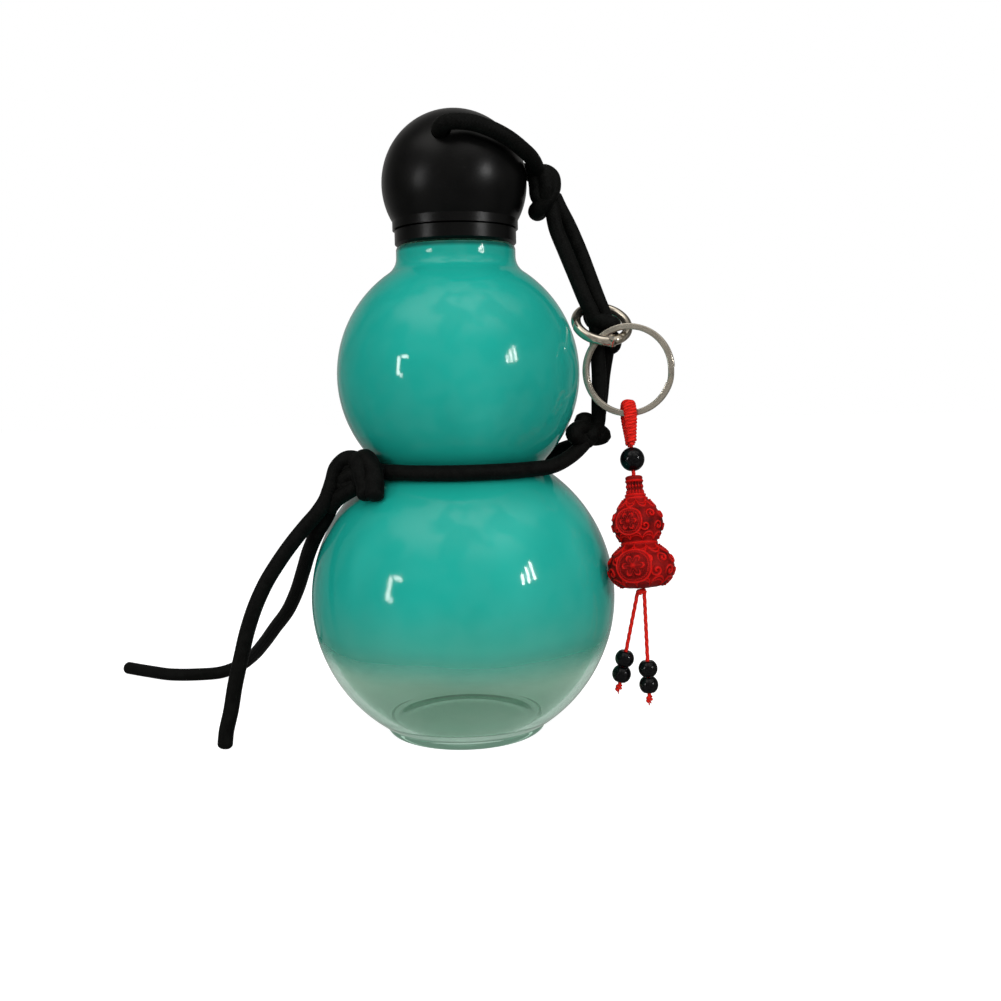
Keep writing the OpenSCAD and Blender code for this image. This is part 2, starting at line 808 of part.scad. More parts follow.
module tassel_cord_right() {
    tassel_cord(1, right_hang, right_bead_at);
}

module tassel_bead_right_upper() {
    tassel_bead(1, right_hang, right_bead_at[0]);
}

module tassel_bead_right_lower() {
    tassel_bead(1, right_hang, right_bead_at[1]);
}

module tassel_end_right() {
    tassel_end(1, right_hang, right_bead_at);
}

bottle_body();
cap_shell();
cap_liner();
cap_seal();
cap_cord();
cap_knot();
cap_loop_front();
cap_loop_back();
side_cord_upper_front();
side_cord_upper_back();
ring_knot();
side_cord_lower_front();
side_cord_lower_back();
waist_knot();
waist_cord_front();
waist_cord_back();
tie_knot();
tail_front();
tail_back();
clip_ring();
clip_gate();
clip_pin();
clip_spring();
split_ring();
charm_loop();
charm_thread();
charm_bead();
charm_cord();
charm_gourd();
tassel_cord_left();
tassel_bead_left_upper();
tassel_bead_left_lower();
tassel_end_left();
tassel_cord_right();
tassel_bead_right_upper();
tassel_bead_right_lower();
tassel_end_right();
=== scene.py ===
import math

import bpy
import numpy as np
from bpy.props import FloatProperty, FloatVectorProperty, IntProperty, PointerProperty
from mathutils import Matrix, Vector


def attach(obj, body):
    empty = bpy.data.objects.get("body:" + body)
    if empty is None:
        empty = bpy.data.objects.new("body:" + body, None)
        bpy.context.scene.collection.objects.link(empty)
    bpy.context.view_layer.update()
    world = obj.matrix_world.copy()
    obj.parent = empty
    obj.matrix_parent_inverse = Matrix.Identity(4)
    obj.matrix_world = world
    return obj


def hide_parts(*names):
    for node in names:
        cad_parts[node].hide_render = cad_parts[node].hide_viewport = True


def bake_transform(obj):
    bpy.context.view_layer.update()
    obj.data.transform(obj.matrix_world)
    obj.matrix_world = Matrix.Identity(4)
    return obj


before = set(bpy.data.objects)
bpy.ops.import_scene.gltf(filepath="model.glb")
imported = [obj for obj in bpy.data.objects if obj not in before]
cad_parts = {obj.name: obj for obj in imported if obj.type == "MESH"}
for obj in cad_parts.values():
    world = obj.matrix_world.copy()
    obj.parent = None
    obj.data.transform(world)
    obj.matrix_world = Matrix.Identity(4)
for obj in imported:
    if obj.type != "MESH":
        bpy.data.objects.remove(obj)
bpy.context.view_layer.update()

bl_info = {
    "name": "Glass gourd flask",
    "version": (1, 0, 0),
    "blender": (4, 5, 0),
    "location": "View3D > Sidebar > Flask",
    "description": "Dresses the flask, its ball cap, cord lanyard, rings and hanging charm",
    "category": "Object",
}

MM = 0.001  # a millimetre in metres
MM_PER_M = 1000
FULL_TURN = 2 * math.pi
COORDINATE_STEP = 10  # millimetres of cord to one unit of its own coordinates

# Sizes of the flask in millimetres, the same as in the part's source
LOWER_Z, LOWER_R = 42.46, 47.5
UPPER_Z, UPPER_R = 111.76, 37.3
WAIST_R, WAIST_Z, WAIST_FILLET = 29.02, 83.79, 3.0
SHOULDER_R, SHOULDER_Z, SHOULDER_FILLET = 24.2, 147.67, 6.0
NECK_R, SEAT_Z = 18.2, 150.56
FINISH_R, MOUTH_R, MOUTH_Z = 14.5, 12.0, 163.96
FOOT_R, FOOT_H, FLASK_STEPS = 25.2, 2.2, 192
HOLE_Z, HOLE_TURN, HOLE_REACH = 181.56, -100.5, 17.9

# Routes of the lanyard's cords in millimetres. They follow the part's source, and the front loop's first
# points lie a little lower
LOOP_FRONT = [
    (-3.3, -17.4, 180.9), (-3.9, -19.9, 181.5), (-2.6, -21.8, 182.2), (4.9, -21.4, 182.6), (10.4, -20.1, 181.2),
    (15.4, -17.6, 179.3), (19.8, -13.8, 177), (23.6, -8.4, 174.6), (25.4, -2.6, 171.4),
]
LOOP_BACK = [
    (3.4, 18.6, 181.9), (3.6, 20.4, 182.9), (6.6, 20.9, 183.2), (12, 19.4, 181.6), (16.8, 16.2, 179.2),
    (20.6, 11.8, 176.4), (23.8, 6.6, 173.6), (26.6, 2.2, 170.4),
]
UPPER_FRONT = [
    (29.6, -1, 162.4), (30.6, -1.6, 156.4), (33.4, -2.4, 148.8), (36.3, -3.7, 141.2), (39.1, -5.1, 133.8),
    (41.4, -4.8, 129),
]
UPPER_BACK = [
    (31.8, 0.6, 163), (35.1, 1.8, 157), (38.4, 1.8, 149.4), (41.2, 0.2, 141.2), (43.6, -2.4, 133.6),
    (45.4, -2.3, 129),
]
LOWER_FRONT = [
    (42.4, -4.1, 126), (42.8, -2.7, 122.8), (43.1, -1.9, 118.4), (43.5, -1.9, 111.4), (43.3, -2.4, 103.6),
    (42.9, -2.4, 96),
]
LOWER_BACK = [
    (46.4, -1.2, 125), (47.1, 0.8, 121.8), (46.5, 2.2, 117.6), (45.5, 2.8, 111.4), (44.6, 2.7, 103.6),
    (43.2, 2.6, 96),
]
TAIL_FRONT = [
    (-40.4, -15.2, 75.6), (-42.8, -15.4, 72), (-46.8, -14.9, 67.6), (-51.3, -15.2, 62.3), (-55.3, -15.8, 56.9),
    (-58.9, -16.6, 51.3), (-62, -17.4, 45), (-64.9, -18, 37), (-67.2, -18, 28.6), (-69.3, -18, 20.5),
    (-71, -18, 12.2), (-72.6, -18, 6), (-73.3, -18, 0.8),
]
TAIL_BACK = [
    (-38.8, -10.2, 75.6), (-40.5, -10.4, 71), (-43.9, -9.8, 65.4), (-47.9, -2.6, 58.2), (-51.2, 5, 50.6),
    (-54.6, 12.6, 43), (-59.2, 21, 34.8), (-65.6, 31.4, 26.6), (-72.4, 43, 17.9), (-79, 54, 10.6),
    (-85.9, 61.4, 5.2), (-93.2, 64, 2.4), (-102, 62.6, 2.3), (-111, 63.6, 2.3), (-121, 69, 2.3), (-132, 76, 2.3),
]


def round_waist(start, stop, steps):
    """Points along the crease of the waist, from one angle to another."""
    reach, height = 28.72, 83.59
    angles = [math.radians(start + (stop - start) * i / steps) for i in range(steps + 1)]
    return [(reach * math.cos(a), reach * math.sin(a), height) for a in angles]


WAIST_FRONT = [(37.6, -5.6, 89.4), (32.6, -11, 86), (27, -16.4, 84)] + round_waist(-46, -146, 7)
WAIST_BACK = [(38.4, 3.4, 90.6), (33, 9.6, 87.6), (27.4, 15.6, 85)] + round_waist(46, 210, 11)

# The knots: CAD node, body, and strands of a thickness and a route in millimetres
KNOTS = [
    ("cap_knot", "lanyard_top", [
        (4.9, (23.4, -5.6, 175), (24.5, -2.4, 172.6), (25.0, -2.6, 168.4), (25.4, -2.6, 165.2), (27.4, -2.0, 163.4),
         (29.6, -0.8, 164.6)),
        (5.2, (25.6, 1.4, 171.4), (27.4, -0.4, 172.6), (29.5, -1.2, 171.2), (29.9, -1.6, 168.2), (28.7, -2.7, 165.4),
         (26.4, -2.6, 162.6), (24.9, -1.4, 161.0), (25.6, 0.6, 161.0), (27.4, 1.6, 163)),
        (5.2, (26.6, -2.2, 172), (27.4, -3.6, 170.4), (27.8, -4.0, 167.8), (27.6, -3.2, 165), (28.4, -1.6, 162.4)),
        (4.9, (27.2, 2.2, 171), (28.8, 2.4, 168), (29.0, 1.9, 165), (30.6, 1, 161.8)),
        (4.8, (27.2, -1, 170.4), (28.4, -0.6, 166.4), (29.6, -0.6, 163)),
    ]),
    ("ring_knot", "bottle", [
        (4.6, (41.5, -2.9, 127.2), (42.6, -5.4, 127.4), (45.2, -6.0, 127), (47.7, -4.6, 126.4), (47.6, -2.4, 126.2),
         (45.2, -1.2, 126.6)),
        (4.9, (41.6, -4.6, 128.8), (42.6, -4.6, 127.4), (43.6, -4.0, 126), (43.2, -3.4, 124.4)),
        (4.9, (45.3, -2.4, 129), (46, -2.1, 127), (46.3, -1.4, 125)),
        (4.4, (44.4, -4.6, 128.6), (44.6, -4.4, 126.8), (44.4, -3.6, 124.8)),
        (4.6, (45.2, -2.2, 125), (46.8, -1.2, 123.4), (48.6, -0.6, 121.6), (48.2, 0.2, 119.8), (46.4, 0.8, 119.4)),
        (4.4, (42.4, -3, 126.4), (41.4, -2.6, 127.6), (40.9, -2.2, 129.4), (42, -2, 130.8), (43.4, -2, 130.6)),
    ]),
    ("waist_knot", "bottle", [
        (4.7, (41.8, -1.6, 93.4), (38.6, -4.4, 92), (35.6, -7.6, 92), (34.4, -9.0, 93.4), (36.2, -7.0, 94.8),
         (39, -3.8, 94.6), (41, -1.6, 93.4)),
        (4.7, (40.4, -1.4, 92.4), (38.6, -2.0, 95), (37.9, -2.3, 97), (39.4, -1.5, 97.2), (41.2, -0.6, 95.2),
         (41.2, -0.2, 92.6)),
        (4.7, (39.6, -2.6, 91.8), (42.6, -2.4, 91.4), (44.9, -1.5, 92.2), (43.4, -0.6, 93.6), (40.6, -0.4, 93.8)),
        (4.8, (42.9, -2.4, 96.6), (42.3, -2.8, 94), (40.4, -4.2, 91.8), (38, -5.2, 89.8)),
        (4.8, (43.1, 2.4, 96.4), (42.2, 2.6, 94), (40.6, 3.2, 92.2), (38.6, 3.4, 90.8)),
        (4.6, (40.8, 1.6, 96), (41.6, 0, 96.4), (42.4, -2, 95.4), (41.4, -4.4, 93.2), (38.6, -5.2, 91.4)),
    ]),
    ("tie_knot", "bottle", [
        (4.9, (-28.4, -18, 84.4), (-30.2, -17.4, 87), (-33.8, -15.4, 87.5), (-36.9, -14.5, 84.9),
         (-38.3, -14.6, 80.8), (-39.6, -15, 77)),
        (4.9, (-28, -17, 83.4), (-30.8, -16, 85.4), (-33.8, -14.4, 85.0), (-35.8, -12.9, 82), (-37, -11.4, 78.6),
         (-38.2, -10.5, 76.6)),
        (5.4, (-29.8, -15.8, 87.4), (-27.6, -19.2, 87.7), (-25.7, -21.8, 84.9), (-25.1, -23.6, 81.2),
         (-25.0, -27.4, 76.4)),
        (5.4, (-31.4, -16.2, 87.3), (-29.8, -19.6, 86.4), (-28.8, -21.3, 83.2), (-28.2, -21.8, 80.6),
         (-27.6, -25.4, 76.6)),
        (5.2, (-27, -19, 81.4), (-30.2, -17.8, 80), (-33.8, -15.8, 79.5), (-36.4, -13.6, 80)),
        (5, (-30.2, -17.6, 84.8), (-29.8, -19.4, 82), (-29.4, -19.2, 79.4)),
        (4.9, (-29.6, -18, 83.8), (-32.8, -16.6, 82.6), (-35.8, -14.8, 80)),
        (4.8, (-30, -19, 80), (-33.8, -17.2, 77.8), (-37.6, -14.6, 75.2), (-40.4, -12.8, 71.8)),
        (4.8, (-26.4, -20, 84.2), (-24.6, -20.6, 84), (-22.4, -20.2, 83.7)),
    ]),
]

# Places of the rings, the charm and its tassels in millimetres
CLIP_PLACE = (44.2, -4.3, 126.5)
SPLIT_PLACE = (51.4, -9.65, 112.25)
CHARM_PLACE = (51.4, -9.65, 99.15)
TASSEL_LEFT = (51.961, -21.854, 46.896)
TASSEL_RIGHT = (53.761, -21.854, 46.896)
LARGE_BEAD_DOWN, GOURD_DOWN = 14.2, 19.3

# The camera: how far it looks down, to the right and leans, its place in metres and its lens in millimetres
CAMERA_TURN, CAMERA_PLACE, CAMERA_LENS = (6.10, 2.14, -1.13), (0, -0.327, 0.1073), 37.55


# ---------------------------------------------------------------- properties
class FlaskGlassLook(bpy.types.PropertyGroup):
    wall: FloatProperty(
        name="Wall", description="Thickness of the glass", default=0.0023, min=0.001, max=0.004, unit="LENGTH"
    )
    tint: FloatVectorProperty(
        name="Tint", description="Colour of the sprayed coat", default=(0.0125, 0.40, 0.325), size=3, subtype="COLOR"
    )
    # Shade: the darker tone of the coat's random mottle, and the colour of the painted shade in the waist's crease.
    shade: FloatVectorProperty(
        name="Shade", description="Darker colour of the coat in its deep places",
        default=(0.008, 0.27, 0.21), size=3, subtype="COLOR"
    )
    fade_low: FloatProperty(
        name="Fade ends", description="Height below which the glass is clear", default=0.0225, unit="LENGTH"
    )
    fade_high: FloatProperty(
        name="Fade starts", description="Height above which the coat is full", default=0.0375, unit="LENGTH"
    )


class FlaskCordLook(bpy.types.PropertyGroup):
    across: FloatProperty(
        name="Thickness", description="Diameter of the lanyard's cord",
        default=0.0046, min=0.002, max=0.008, unit="LENGTH"
    )
    plaits: IntProperty(
        name="Plaits", description="Strands each way round the cord's sleeve", default=14, min=4, max=32
    )
    colour: FloatVectorProperty(
        name="Colour", description="Colour of the sleeve", default=(0.0020, 0.0021, 0.0018), size=3, subtype="COLOR"
    )


class FlaskMetalLook(bpy.types.PropertyGroup):
    nickel: FloatVectorProperty(
        name="Nickel", description="Colour of the plated rings", default=(0.58, 0.52, 0.43), size=3, subtype="COLOR"
    )
    steel: FloatVectorProperty(
        name="Steel", description="Colour of the pin and spring", default=(0.5, 0.49, 0.47), size=3, subtype="COLOR"
    )


class FlaskCharmLook(bpy.types.PropertyGroup):
    carved: FloatVectorProperty(
        name="Carved red", description="Colour of the carving's high places", default=(0.54, 0.0050, 0.0030), size=3,
        subtype="COLOR"
    )
    # Carved shade: the colour of the painted shade in the carving's recesses.
    hollow_shade: FloatVectorProperty(
        name="Carved shade", description="Colour in the carving's hollows", default=(0.045, 0.0008, 0.0007), size=3,
        subtype="COLOR"
    )
    cord: FloatVectorProperty(
        name="Red cord", description="Colour of the charm's cords", default=(0.76, 0.015, 0.008), size=3,
        subtype="COLOR"
    )
    depth: FloatProperty(
        name="Carving depth", description="How deep the carving is cut", default=0.00045, min=0, max=0.0008,
        unit="LENGTH"
    )


class FlaskStageLook(bpy.types.PropertyGroup):
    floor: FloatVectorProperty(
        name="Floor", description="Colour of the floor", default=(0.93, 0.93, 0.93), size=3, subtype="COLOR"
    )
    key: FloatProperty(
        name="Large lights", description="Power that the front and overhead lights share", default=2.05, min=0,
        unit="POWER",
    )
    windows: FloatProperty(
        name="Side lights", description="Power that the small side lights share", default=2.6, min=0, unit="POWER"
    )


# ---------------------------------------------------------------- node groups and materials
def feed(tree, socket, value):
    """Links a socket to another one, or sets its value."""
    if isinstance(value, bpy.types.NodeSocket):
        tree.links.new(value, socket)
    else:
        socket.default_value = value


def put(tree, kind, feeds=None, **settings):
    """Adds a node, gives it settings and feeds its sockets with values or links."""
    made = tree.nodes.new(kind)
    for key, value in settings.items():
        setattr(made, key, value)
    for key, value in (feeds or {}).items():
        feed(tree, made.inputs[key], value)
    return made


def sums(tree, operation, a, b=0.0, c=0.0):
    """One step of arithmetic in a node tree."""
    return put(tree, "ShaderNodeMath", {0: a, 1: b, 2: c}, operation=operation).outputs[0]


def spread(tree, value, low, high, to_low, to_high, smooth=False):
    """Takes a value from one range to another."""
    made = put(
        tree, "ShaderNodeMapRange",
        {"Value": value, "From Min": low, "From Max": high, "To Min": to_low, "To Max": to_high},
        interpolation_type="SMOOTHSTEP" if smooth else "LINEAR",
    )
    return made.outputs["Result"]


def blend_colours(tree, share, first, second):
    """Mixes two colours by a share."""
    made = put(tree, "ShaderNodeMix", {0: share}, data_type="RGBA")
    for key, value in ((6, first), (7, second)):
        feed(tree, made.inputs[key], value if isinstance(value, bpy.types.NodeSocket) else (*value, 1.0))
    return made.outputs[2]


def object_place(tree):
    """Each point's place in metres, the same for all pieces."""
    return put(tree, "ShaderNodeTexCoord").outputs["Object"]


def noise(tree, where, scale, detail, rough=0.5):
    """Cloudy values around one half."""
    return put(
        tree, "ShaderNodeTexNoise", {"Vector": where, "Scale": scale, "Detail": detail, "Roughness": rough}
    ).outputs[0]


def open_group(name, takes, gives):
    """Starts a node group with named inputs and outputs."""
    tree = bpy.data.node_groups.new(name, "ShaderNodeTree")
    for label, value in takes:
        socket = tree.interface.new_socket(name=label, in_out="INPUT", socket_type="NodeSocketFloat")
        socket.default_value = value
    for label in gives:
        tree.interface.new_socket(name=label, in_out="OUTPUT", socket_type="NodeSocketFloat")
    return tree, tree.nodes.new("NodeGroupInput"), tree.nodes.new("NodeGroupOutput")


def plait_group():
    """A plaited sleeve over a cord, from the cord's own coordinates: the plaits' height, and a share of painted shade
    in the gaps between them.
    """
    if "Plaited sleeve" in bpy.data.node_groups:
        return bpy.data.node_groups["Plaited sleeve"]
    tree, takes, gives = open_group("Plaited sleeve", [("Around", 14.0), ("Along", 6.0)], ["Height", "Gap"])
    place = put(tree, "ShaderNodeSeparateXYZ", {0: put(tree, "ShaderNodeUVMap").outputs[0]})
    across = sums(tree, "MULTIPLY", place.outputs[0], takes.outputs["Around"])
    down = sums(tree, "MULTIPLY", place.outputs[1], takes.outputs["Along"])
    one, other = sums(tree, "ADD", across, down), sums(tree, "SUBTRACT", across, down)
    crests = []
    for phase in (one, other):
        turn = sums(tree, "MULTIPLY", sums(tree, "FRACT", phase), math.pi)
        crests.append(sums(tree, "SINE", turn))
    cell = sums(tree, "ADD", sums(tree, "FLOOR", one), sums(tree, "FLOOR", other))
    over = sums(tree, "PINGPONG", cell, 1.0)
    low = sums(tree, "MULTIPLY", crests[1], sums(tree, "SUBTRACT", 1.0, over))
    height = sums(tree, "MULTIPLY_ADD", crests[0], over, low)
    tree.links.new(height, gives.inputs["Height"])
    # The gaps between the plaits, as a share for painted shade.
    tree.links.new(spread(tree, height, 0.0, 0.45, 1.0, 0.0), gives.inputs["Gap"])
    return tree


def twist_group():
    """Strands twisted into a cord, from the cord's own coordinates."""
    if "Twisted strands" in bpy.data.node_groups:
        return bpy.data.node_groups["Twisted strands"]
    tree, takes, gives = open_group("Twisted strands", [("Strands", 3.0), ("Along", 4.0)], ["Height", "Fibre"])
    place = put(tree, "ShaderNodeSeparateXYZ", {0: put(tree, "ShaderNodeUVMap").outputs[0]})
    phase = sums(
        tree, "ADD", sums(tree, "MULTIPLY", place.outputs[0], takes.outputs["Strands"]),
        sums(tree, "MULTIPLY", place.outputs[1], takes.outputs["Along"]),
    )
    crest = sums(tree, "SINE", sums(tree, "MULTIPLY", sums(tree, "FRACT", phase), math.pi))
    hair = noise(tree, object_place(tree), 2600.0, 3.0)
    tree.links.new(sums(tree, "MULTIPLY_ADD", hair, 0.25, crest), gives.inputs["Height"])
    tree.links.new(hair, gives.inputs["Fibre"])
    return tree


def handling_group():
    """Soft smudges and hairline marks that handling leaves on a hard surface."""
    if "Handling marks" in bpy.data.node_groups:
        return bpy.data.node_groups["Handling marks"]
    tree, takes, gives = open_group("Handling marks", [("Scale", 60.0)], ["Smudge", "Hairline", "Grain"])
    here, scale = object_place(tree), takes.outputs["Scale"]
    smudge = noise(tree, here, scale, 4.0, 0.6)
    drawn = put(tree, "ShaderNodeMapping", {"Vector": here, "Scale": (1.0, 7.0, 1.6), "Rotation": (0.4, 0.9, 0.3)})
    line = noise(tree, drawn.outputs[0], sums(tree, "MULTIPLY", scale, 9.0), 2.0, 0.8)
    grain = noise(tree, here, sums(tree, "MULTIPLY", scale, 45.0), 2.0)
    tree.links.new(spread(tree, smudge, 0.35, 0.7, 0.0, 1.0), gives.inputs["Smudge"])
    tree.links.new(spread(tree, line, 0.62, 0.72, 0.0, 1.0), gives.inputs["Hairline"])
    tree.links.new(grain, gives.inputs["Grain"])
    return tree


def material(name, **constants):
    """A new material with one Principled shader, whose constant values are set on its own sockets."""
    made = bpy.data.materials.new(name)
    made.use_nodes = True
    tree = made.node_tree
    shader = tree.nodes["Principled BSDF"]
    for key, value in constants.items():
        shader.inputs[key.replace("_", " ")].default_value = value
    return made, tree, shader


def once(build):
    """The material with a maker's own name, built the first time."""
    return bpy.data.materials.get(build.__name__) or build(build.__name__)


def handled(tree, scale):
    """The handling marks placed in a material, at their own scale."""
    return put(tree, "ShaderNodeGroup", {"Scale": scale}, node_tree=handling_group()).outputs


def set_bump(tree, shader, height, strength, distance):
    """Raises a surface by a height, over a distance in metres."""
    lump = put(tree, "ShaderNodeBump", {"Height": height, "Strength": strength, "Distance": distance})
    tree.links.new(lump.outputs[0], shader.inputs["Normal"])


def clear_glass(name):
    """Clear glass. Light caught in its wall glows faintly, because the renderer ends it too soon."""
    made, tree, shader = material(
        name, Transmission_Weight=1.0, IOR=1.25, Specular_IOR_Level=0.8, Emission_Strength=1.0
    )
    smudge = handled(tree, 40.0)["Smudge"]
    tree.links.new(blend_colours(tree, smudge, (0.51, 0.69, 0.59), (0.57, 0.73, 0.64)), shader.inputs["Base Color"])
    tree.links.new(spread(tree, smudge, 0, 1, 0.0, 0.025), shader.inputs["Roughness"])
    set_bump(tree, shader, noise(tree, object_place(tree), 28.0, 1.0), 0.25, 0.0006)
    caught = spread(tree, put(tree, "ShaderNodeLightPath").outputs["Glossy Depth"], 0.5, 1.5, 0.0, 1.0)
    tree.links.new(blend_colours(tree, caught, (0, 0, 0), (0.040, 0.062, 0.050)), shader.inputs["Emission Color"])
    return made


def sprayed_tint(name):
    """The coat: mottled, with lighter vertical bands of painted reflection, painted shade in the waist's crease, a
    painted shadow of the cap at the top rim, a painted teal glow toward rays through the glass, and faded out above the
    foot.
    """
    look = bpy.context.scene.flask_glass
    made, tree, shader = material(name, IOR=1.5, Specular_IOR_Level=0.33, Emission_Strength=1.0)
    here = object_place(tree)
    height = put(tree, "ShaderNodeSeparateXYZ", {0: here}).outputs[2]
    cloud = noise(tree, here, 22.0, 3.0)
    ragged = sums(tree, "MULTIPLY_ADD", sums(tree, "SUBTRACT", cloud, 0.5), 0.007, height)
    full = spread(tree, ragged, look.fade_low, look.fade_high, 0.0, 0.93, smooth=True)
    tree.links.new(full, shader.inputs["Alpha"])
    mottled = blend_colours(tree, spread(tree, cloud, 0.35, 0.7, 0.0, 0.45), look.tint[:], look.shade[:])
    # Painted reflection: lighter vertical bands of teal, from a stretched noise, stand in for faint reflections of the
    # room.
    drawn = put(tree, "ShaderNodeMapping", {"Vector": here, "Scale": (1.0, 1.0, 0.3)}).outputs[0]
    painted_reflection_streak = spread(tree, noise(tree, drawn, 26.0, 2.0), 0.5, 0.72, 0.0, 0.55, smooth=True)
    mottled = blend_colours(tree, painted_reflection_streak, mottled, (0.036, 0.50, 0.41))
    # Painted shade: near the waist's crease the coat blends toward its darker shade colour, where shade falls between
    # the bulbs.
    crease = sums(tree, "ABSOLUTE", sums(tree, "SUBTRACT", height, 0.0838))
    deep = spread(tree, crease, 0.0, 0.013, 0.55, 0.0, smooth=True)
    tone = blend_colours(tree, deep, mottled, look.shade[:])
    # Painted shadow: a dark green ring at the top of the coat, just under the cap's collar, stands in for the cap's
    # shadow.
    rim = spread(tree, height, 0.1486, 0.1499, 0.0, 0.85, smooth=True)
    tone = blend_colours(tree, rim, tone, (0.003, 0.055, 0.042))
    thin = spread(tree, height, look.fade_low, 0.052, 1.0, 0.0, smooth=True)
    tone = blend_colours(tree, sums(tree, "MULTIPLY", thin, 0.75), tone, (0.10, 0.42, 0.31))
    tree.links.new(tone, shader.inputs["Base Color"])
    tree.links.new(spread(tree, handled(tree, 45.0)["Smudge"], 0, 1, 0.05, 0.12), shader.inputs["Roughness"])
    set_bump(tree, shader, noise(tree, here, 30.0, 2.0), 0.5, 0.0009)
    # Painted glow: the coat gives off teal light toward rays that arrive through the glass, in place of light passing
    # through the coat.
    through = put(tree, "ShaderNodeLightPath").outputs["Is Transmission Ray"]
    tree.links.new(blend_colours(tree, through, (0, 0, 0), (0.05, 0.26, 0.21)), shader.inputs["Emission Color"])
    return made


def scaled(tone, factor, more=0.0):
    """A colour made darker or lighter, up to white."""
    return tuple(min(1.0, c * factor + more) for c in tone)


def hard_finish(name, dark, light, rough, scale, bump, **constants):
    """A hard surface with smudges, hairlines and a fine grain."""
    made, tree, shader = material(name, **constants)
    marks = handled(tree, scale)
    tone = blend_colours(tree, marks["Smudge"], dark, light)
    tone = blend_colours(tree, sums(tree, "MULTIPLY", marks["Hairline"], 0.35), tone, scaled(light, 1.5, 0.004))
    tree.links.new(tone, shader.inputs["Base Color"])
    base = spread(tree, marks["Smudge"], 0, 1, *rough)
    tree.links.new(sums(tree, "MULTIPLY_ADD", marks["Hairline"], 0.08, base), shader.inputs["Roughness"])
    set_bump(tree, shader, marks["Grain"], 0.5, bump)
    return made


def cap_black(name):
    return hard_finish(name, (0.0014, 0.0014, 0.0013), (0.0024, 0.0023, 0.0022), (0.28, 0.36), 55.0, 0.00003,
                       Specular_IOR_Level=0.17)


def liner_black(name):
    return hard_finish(name, (0.02, 0.02, 0.02), (0.028, 0.028, 0.027), (0.35, 0.5), 70.0, 0.00003)


def seal_white(name):
    return hard_finish(name, (0.62, 0.62, 0.59), (0.7, 0.7, 0.67), (0.5, 0.62), 80.0, 0.00004)


def plated_nickel(name):
    tone = bpy.context.scene.flask_metal.nickel[:]
    return hard_finish(name, scaled(tone, 0.82), tone, (0.18, 0.30), 160.0, 0.00001, Metallic=0.8)


def polished_nickel(name):
    tone = scaled(bpy.context.scene.flask_metal.nickel, 1.22)
    return hard_finish(name, scaled(tone, 0.9), tone, (0.07, 0.15), 160.0, 0.000006, Metallic=0.96)


def bright_steel(name):
    tone = bpy.context.scene.flask_metal.steel[:]
    return hard_finish(name, scaled(tone, 0.85), tone, (0.22, 0.36), 300.0, 0.00001, Metallic=1.0)


def bead_black(name):
    return hard_finish(name, (0.0016, 0.0016, 0.0019), (0.003, 0.003, 0.0034), (0.05, 0.12), 180.0, 0.00001,
                       Specular_IOR_Level=0.2)


def black_sleeve(name):
    look = bpy.context.scene.flask_cord
    made, tree, shader = material(name, Sheen_Weight=0.008, Sheen_Roughness=0.4, Specular_IOR_Level=0.07)
    feeds = {"Around": float(look.plaits), "Along": 9.0}
    plait = put(tree, "ShaderNodeGroup", feeds, node_tree=plait_group()).outputs
    fuzz = noise(tree, object_place(tree), 420.0, 3.0)
    tone = spread(tree, fuzz, 0.4, 0.7, 0.0, 1.0)
    tone = blend_colours(tree, tone, look.colour[:], scaled(look.colour, 2.0, 0.0004))
    # Painted shade: the gaps between the plaits are darkened toward a deeper black.
    tone = blend_colours(tree, sums(tree, "MULTIPLY", plait["Gap"], 0.6), tone, (0.0012, 0.0012, 0.0011))
    tree.links.new(tone, shader.inputs["Base Color"])
    tree.links.new(spread(tree, fuzz, 0.3, 0.7, 0.52, 0.68), shader.inputs["Roughness"])
    set_bump(tree, shader, sums(tree, "MULTIPLY_ADD", fuzz, 0.3, plait["Height"]), 0.55, 0.00010)
    return made


def red_strand(name):
    tone = bpy.context.scene.flask_charm.cord[:]
    made, tree, shader = material(name, Sheen_Weight=0.02, Specular_IOR_Level=0.10)
    twist = put(tree, "ShaderNodeGroup", {"Strands": 3.0, "Along": 6.0}, node_tree=twist_group()).outputs
    # Painted shade: the grooves between the twisted strands are darkened to under half of the red.
    shade = blend_colours(tree, spread(tree, twist["Height"], 0.1, 1.0, 0.0, 1.0), scaled(tone, 0.45), tone)
    tree.links.new(shade, shader.inputs["Base Color"])
    tree.links.new(spread(tree, twist["Fibre"], 0.3, 0.7, 0.42, 0.6), shader.inputs["Roughness"])
    set_bump(tree, shader, twist["Height"], 0.6, 0.00008)
    return made


def carved_red(name):
    look = bpy.context.scene.flask_charm
    made, tree, shader = material(name, Specular_IOR_Level=0.07)
    cut = put(tree, "ShaderNodeAttribute", attribute_name="cut").outputs["Fac"]
    marks = handled(tree, 190.0)
    # Painted shade: the carving's recesses take the dark shade colour, and its high places the carved red.
    tone = blend_colours(tree, spread(tree, cut, -0.1, 0.7, 0.0, 1.0), look.hollow_shade[:], look.carved[:])
    worn = scaled(look.carved, 1.35, 0.01)
    tone = blend_colours(tree, sums(tree, "MULTIPLY", marks["Smudge"], 0.35), tone, worn)
    tree.links.new(tone, shader.inputs["Base Color"])
    tree.links.new(spread(tree, cut, 0.0, 0.8, 0.52, 0.3), shader.inputs["Roughness"])
    set_bump(tree, shader, marks["Grain"], 0.3, 0.00003)
    return made


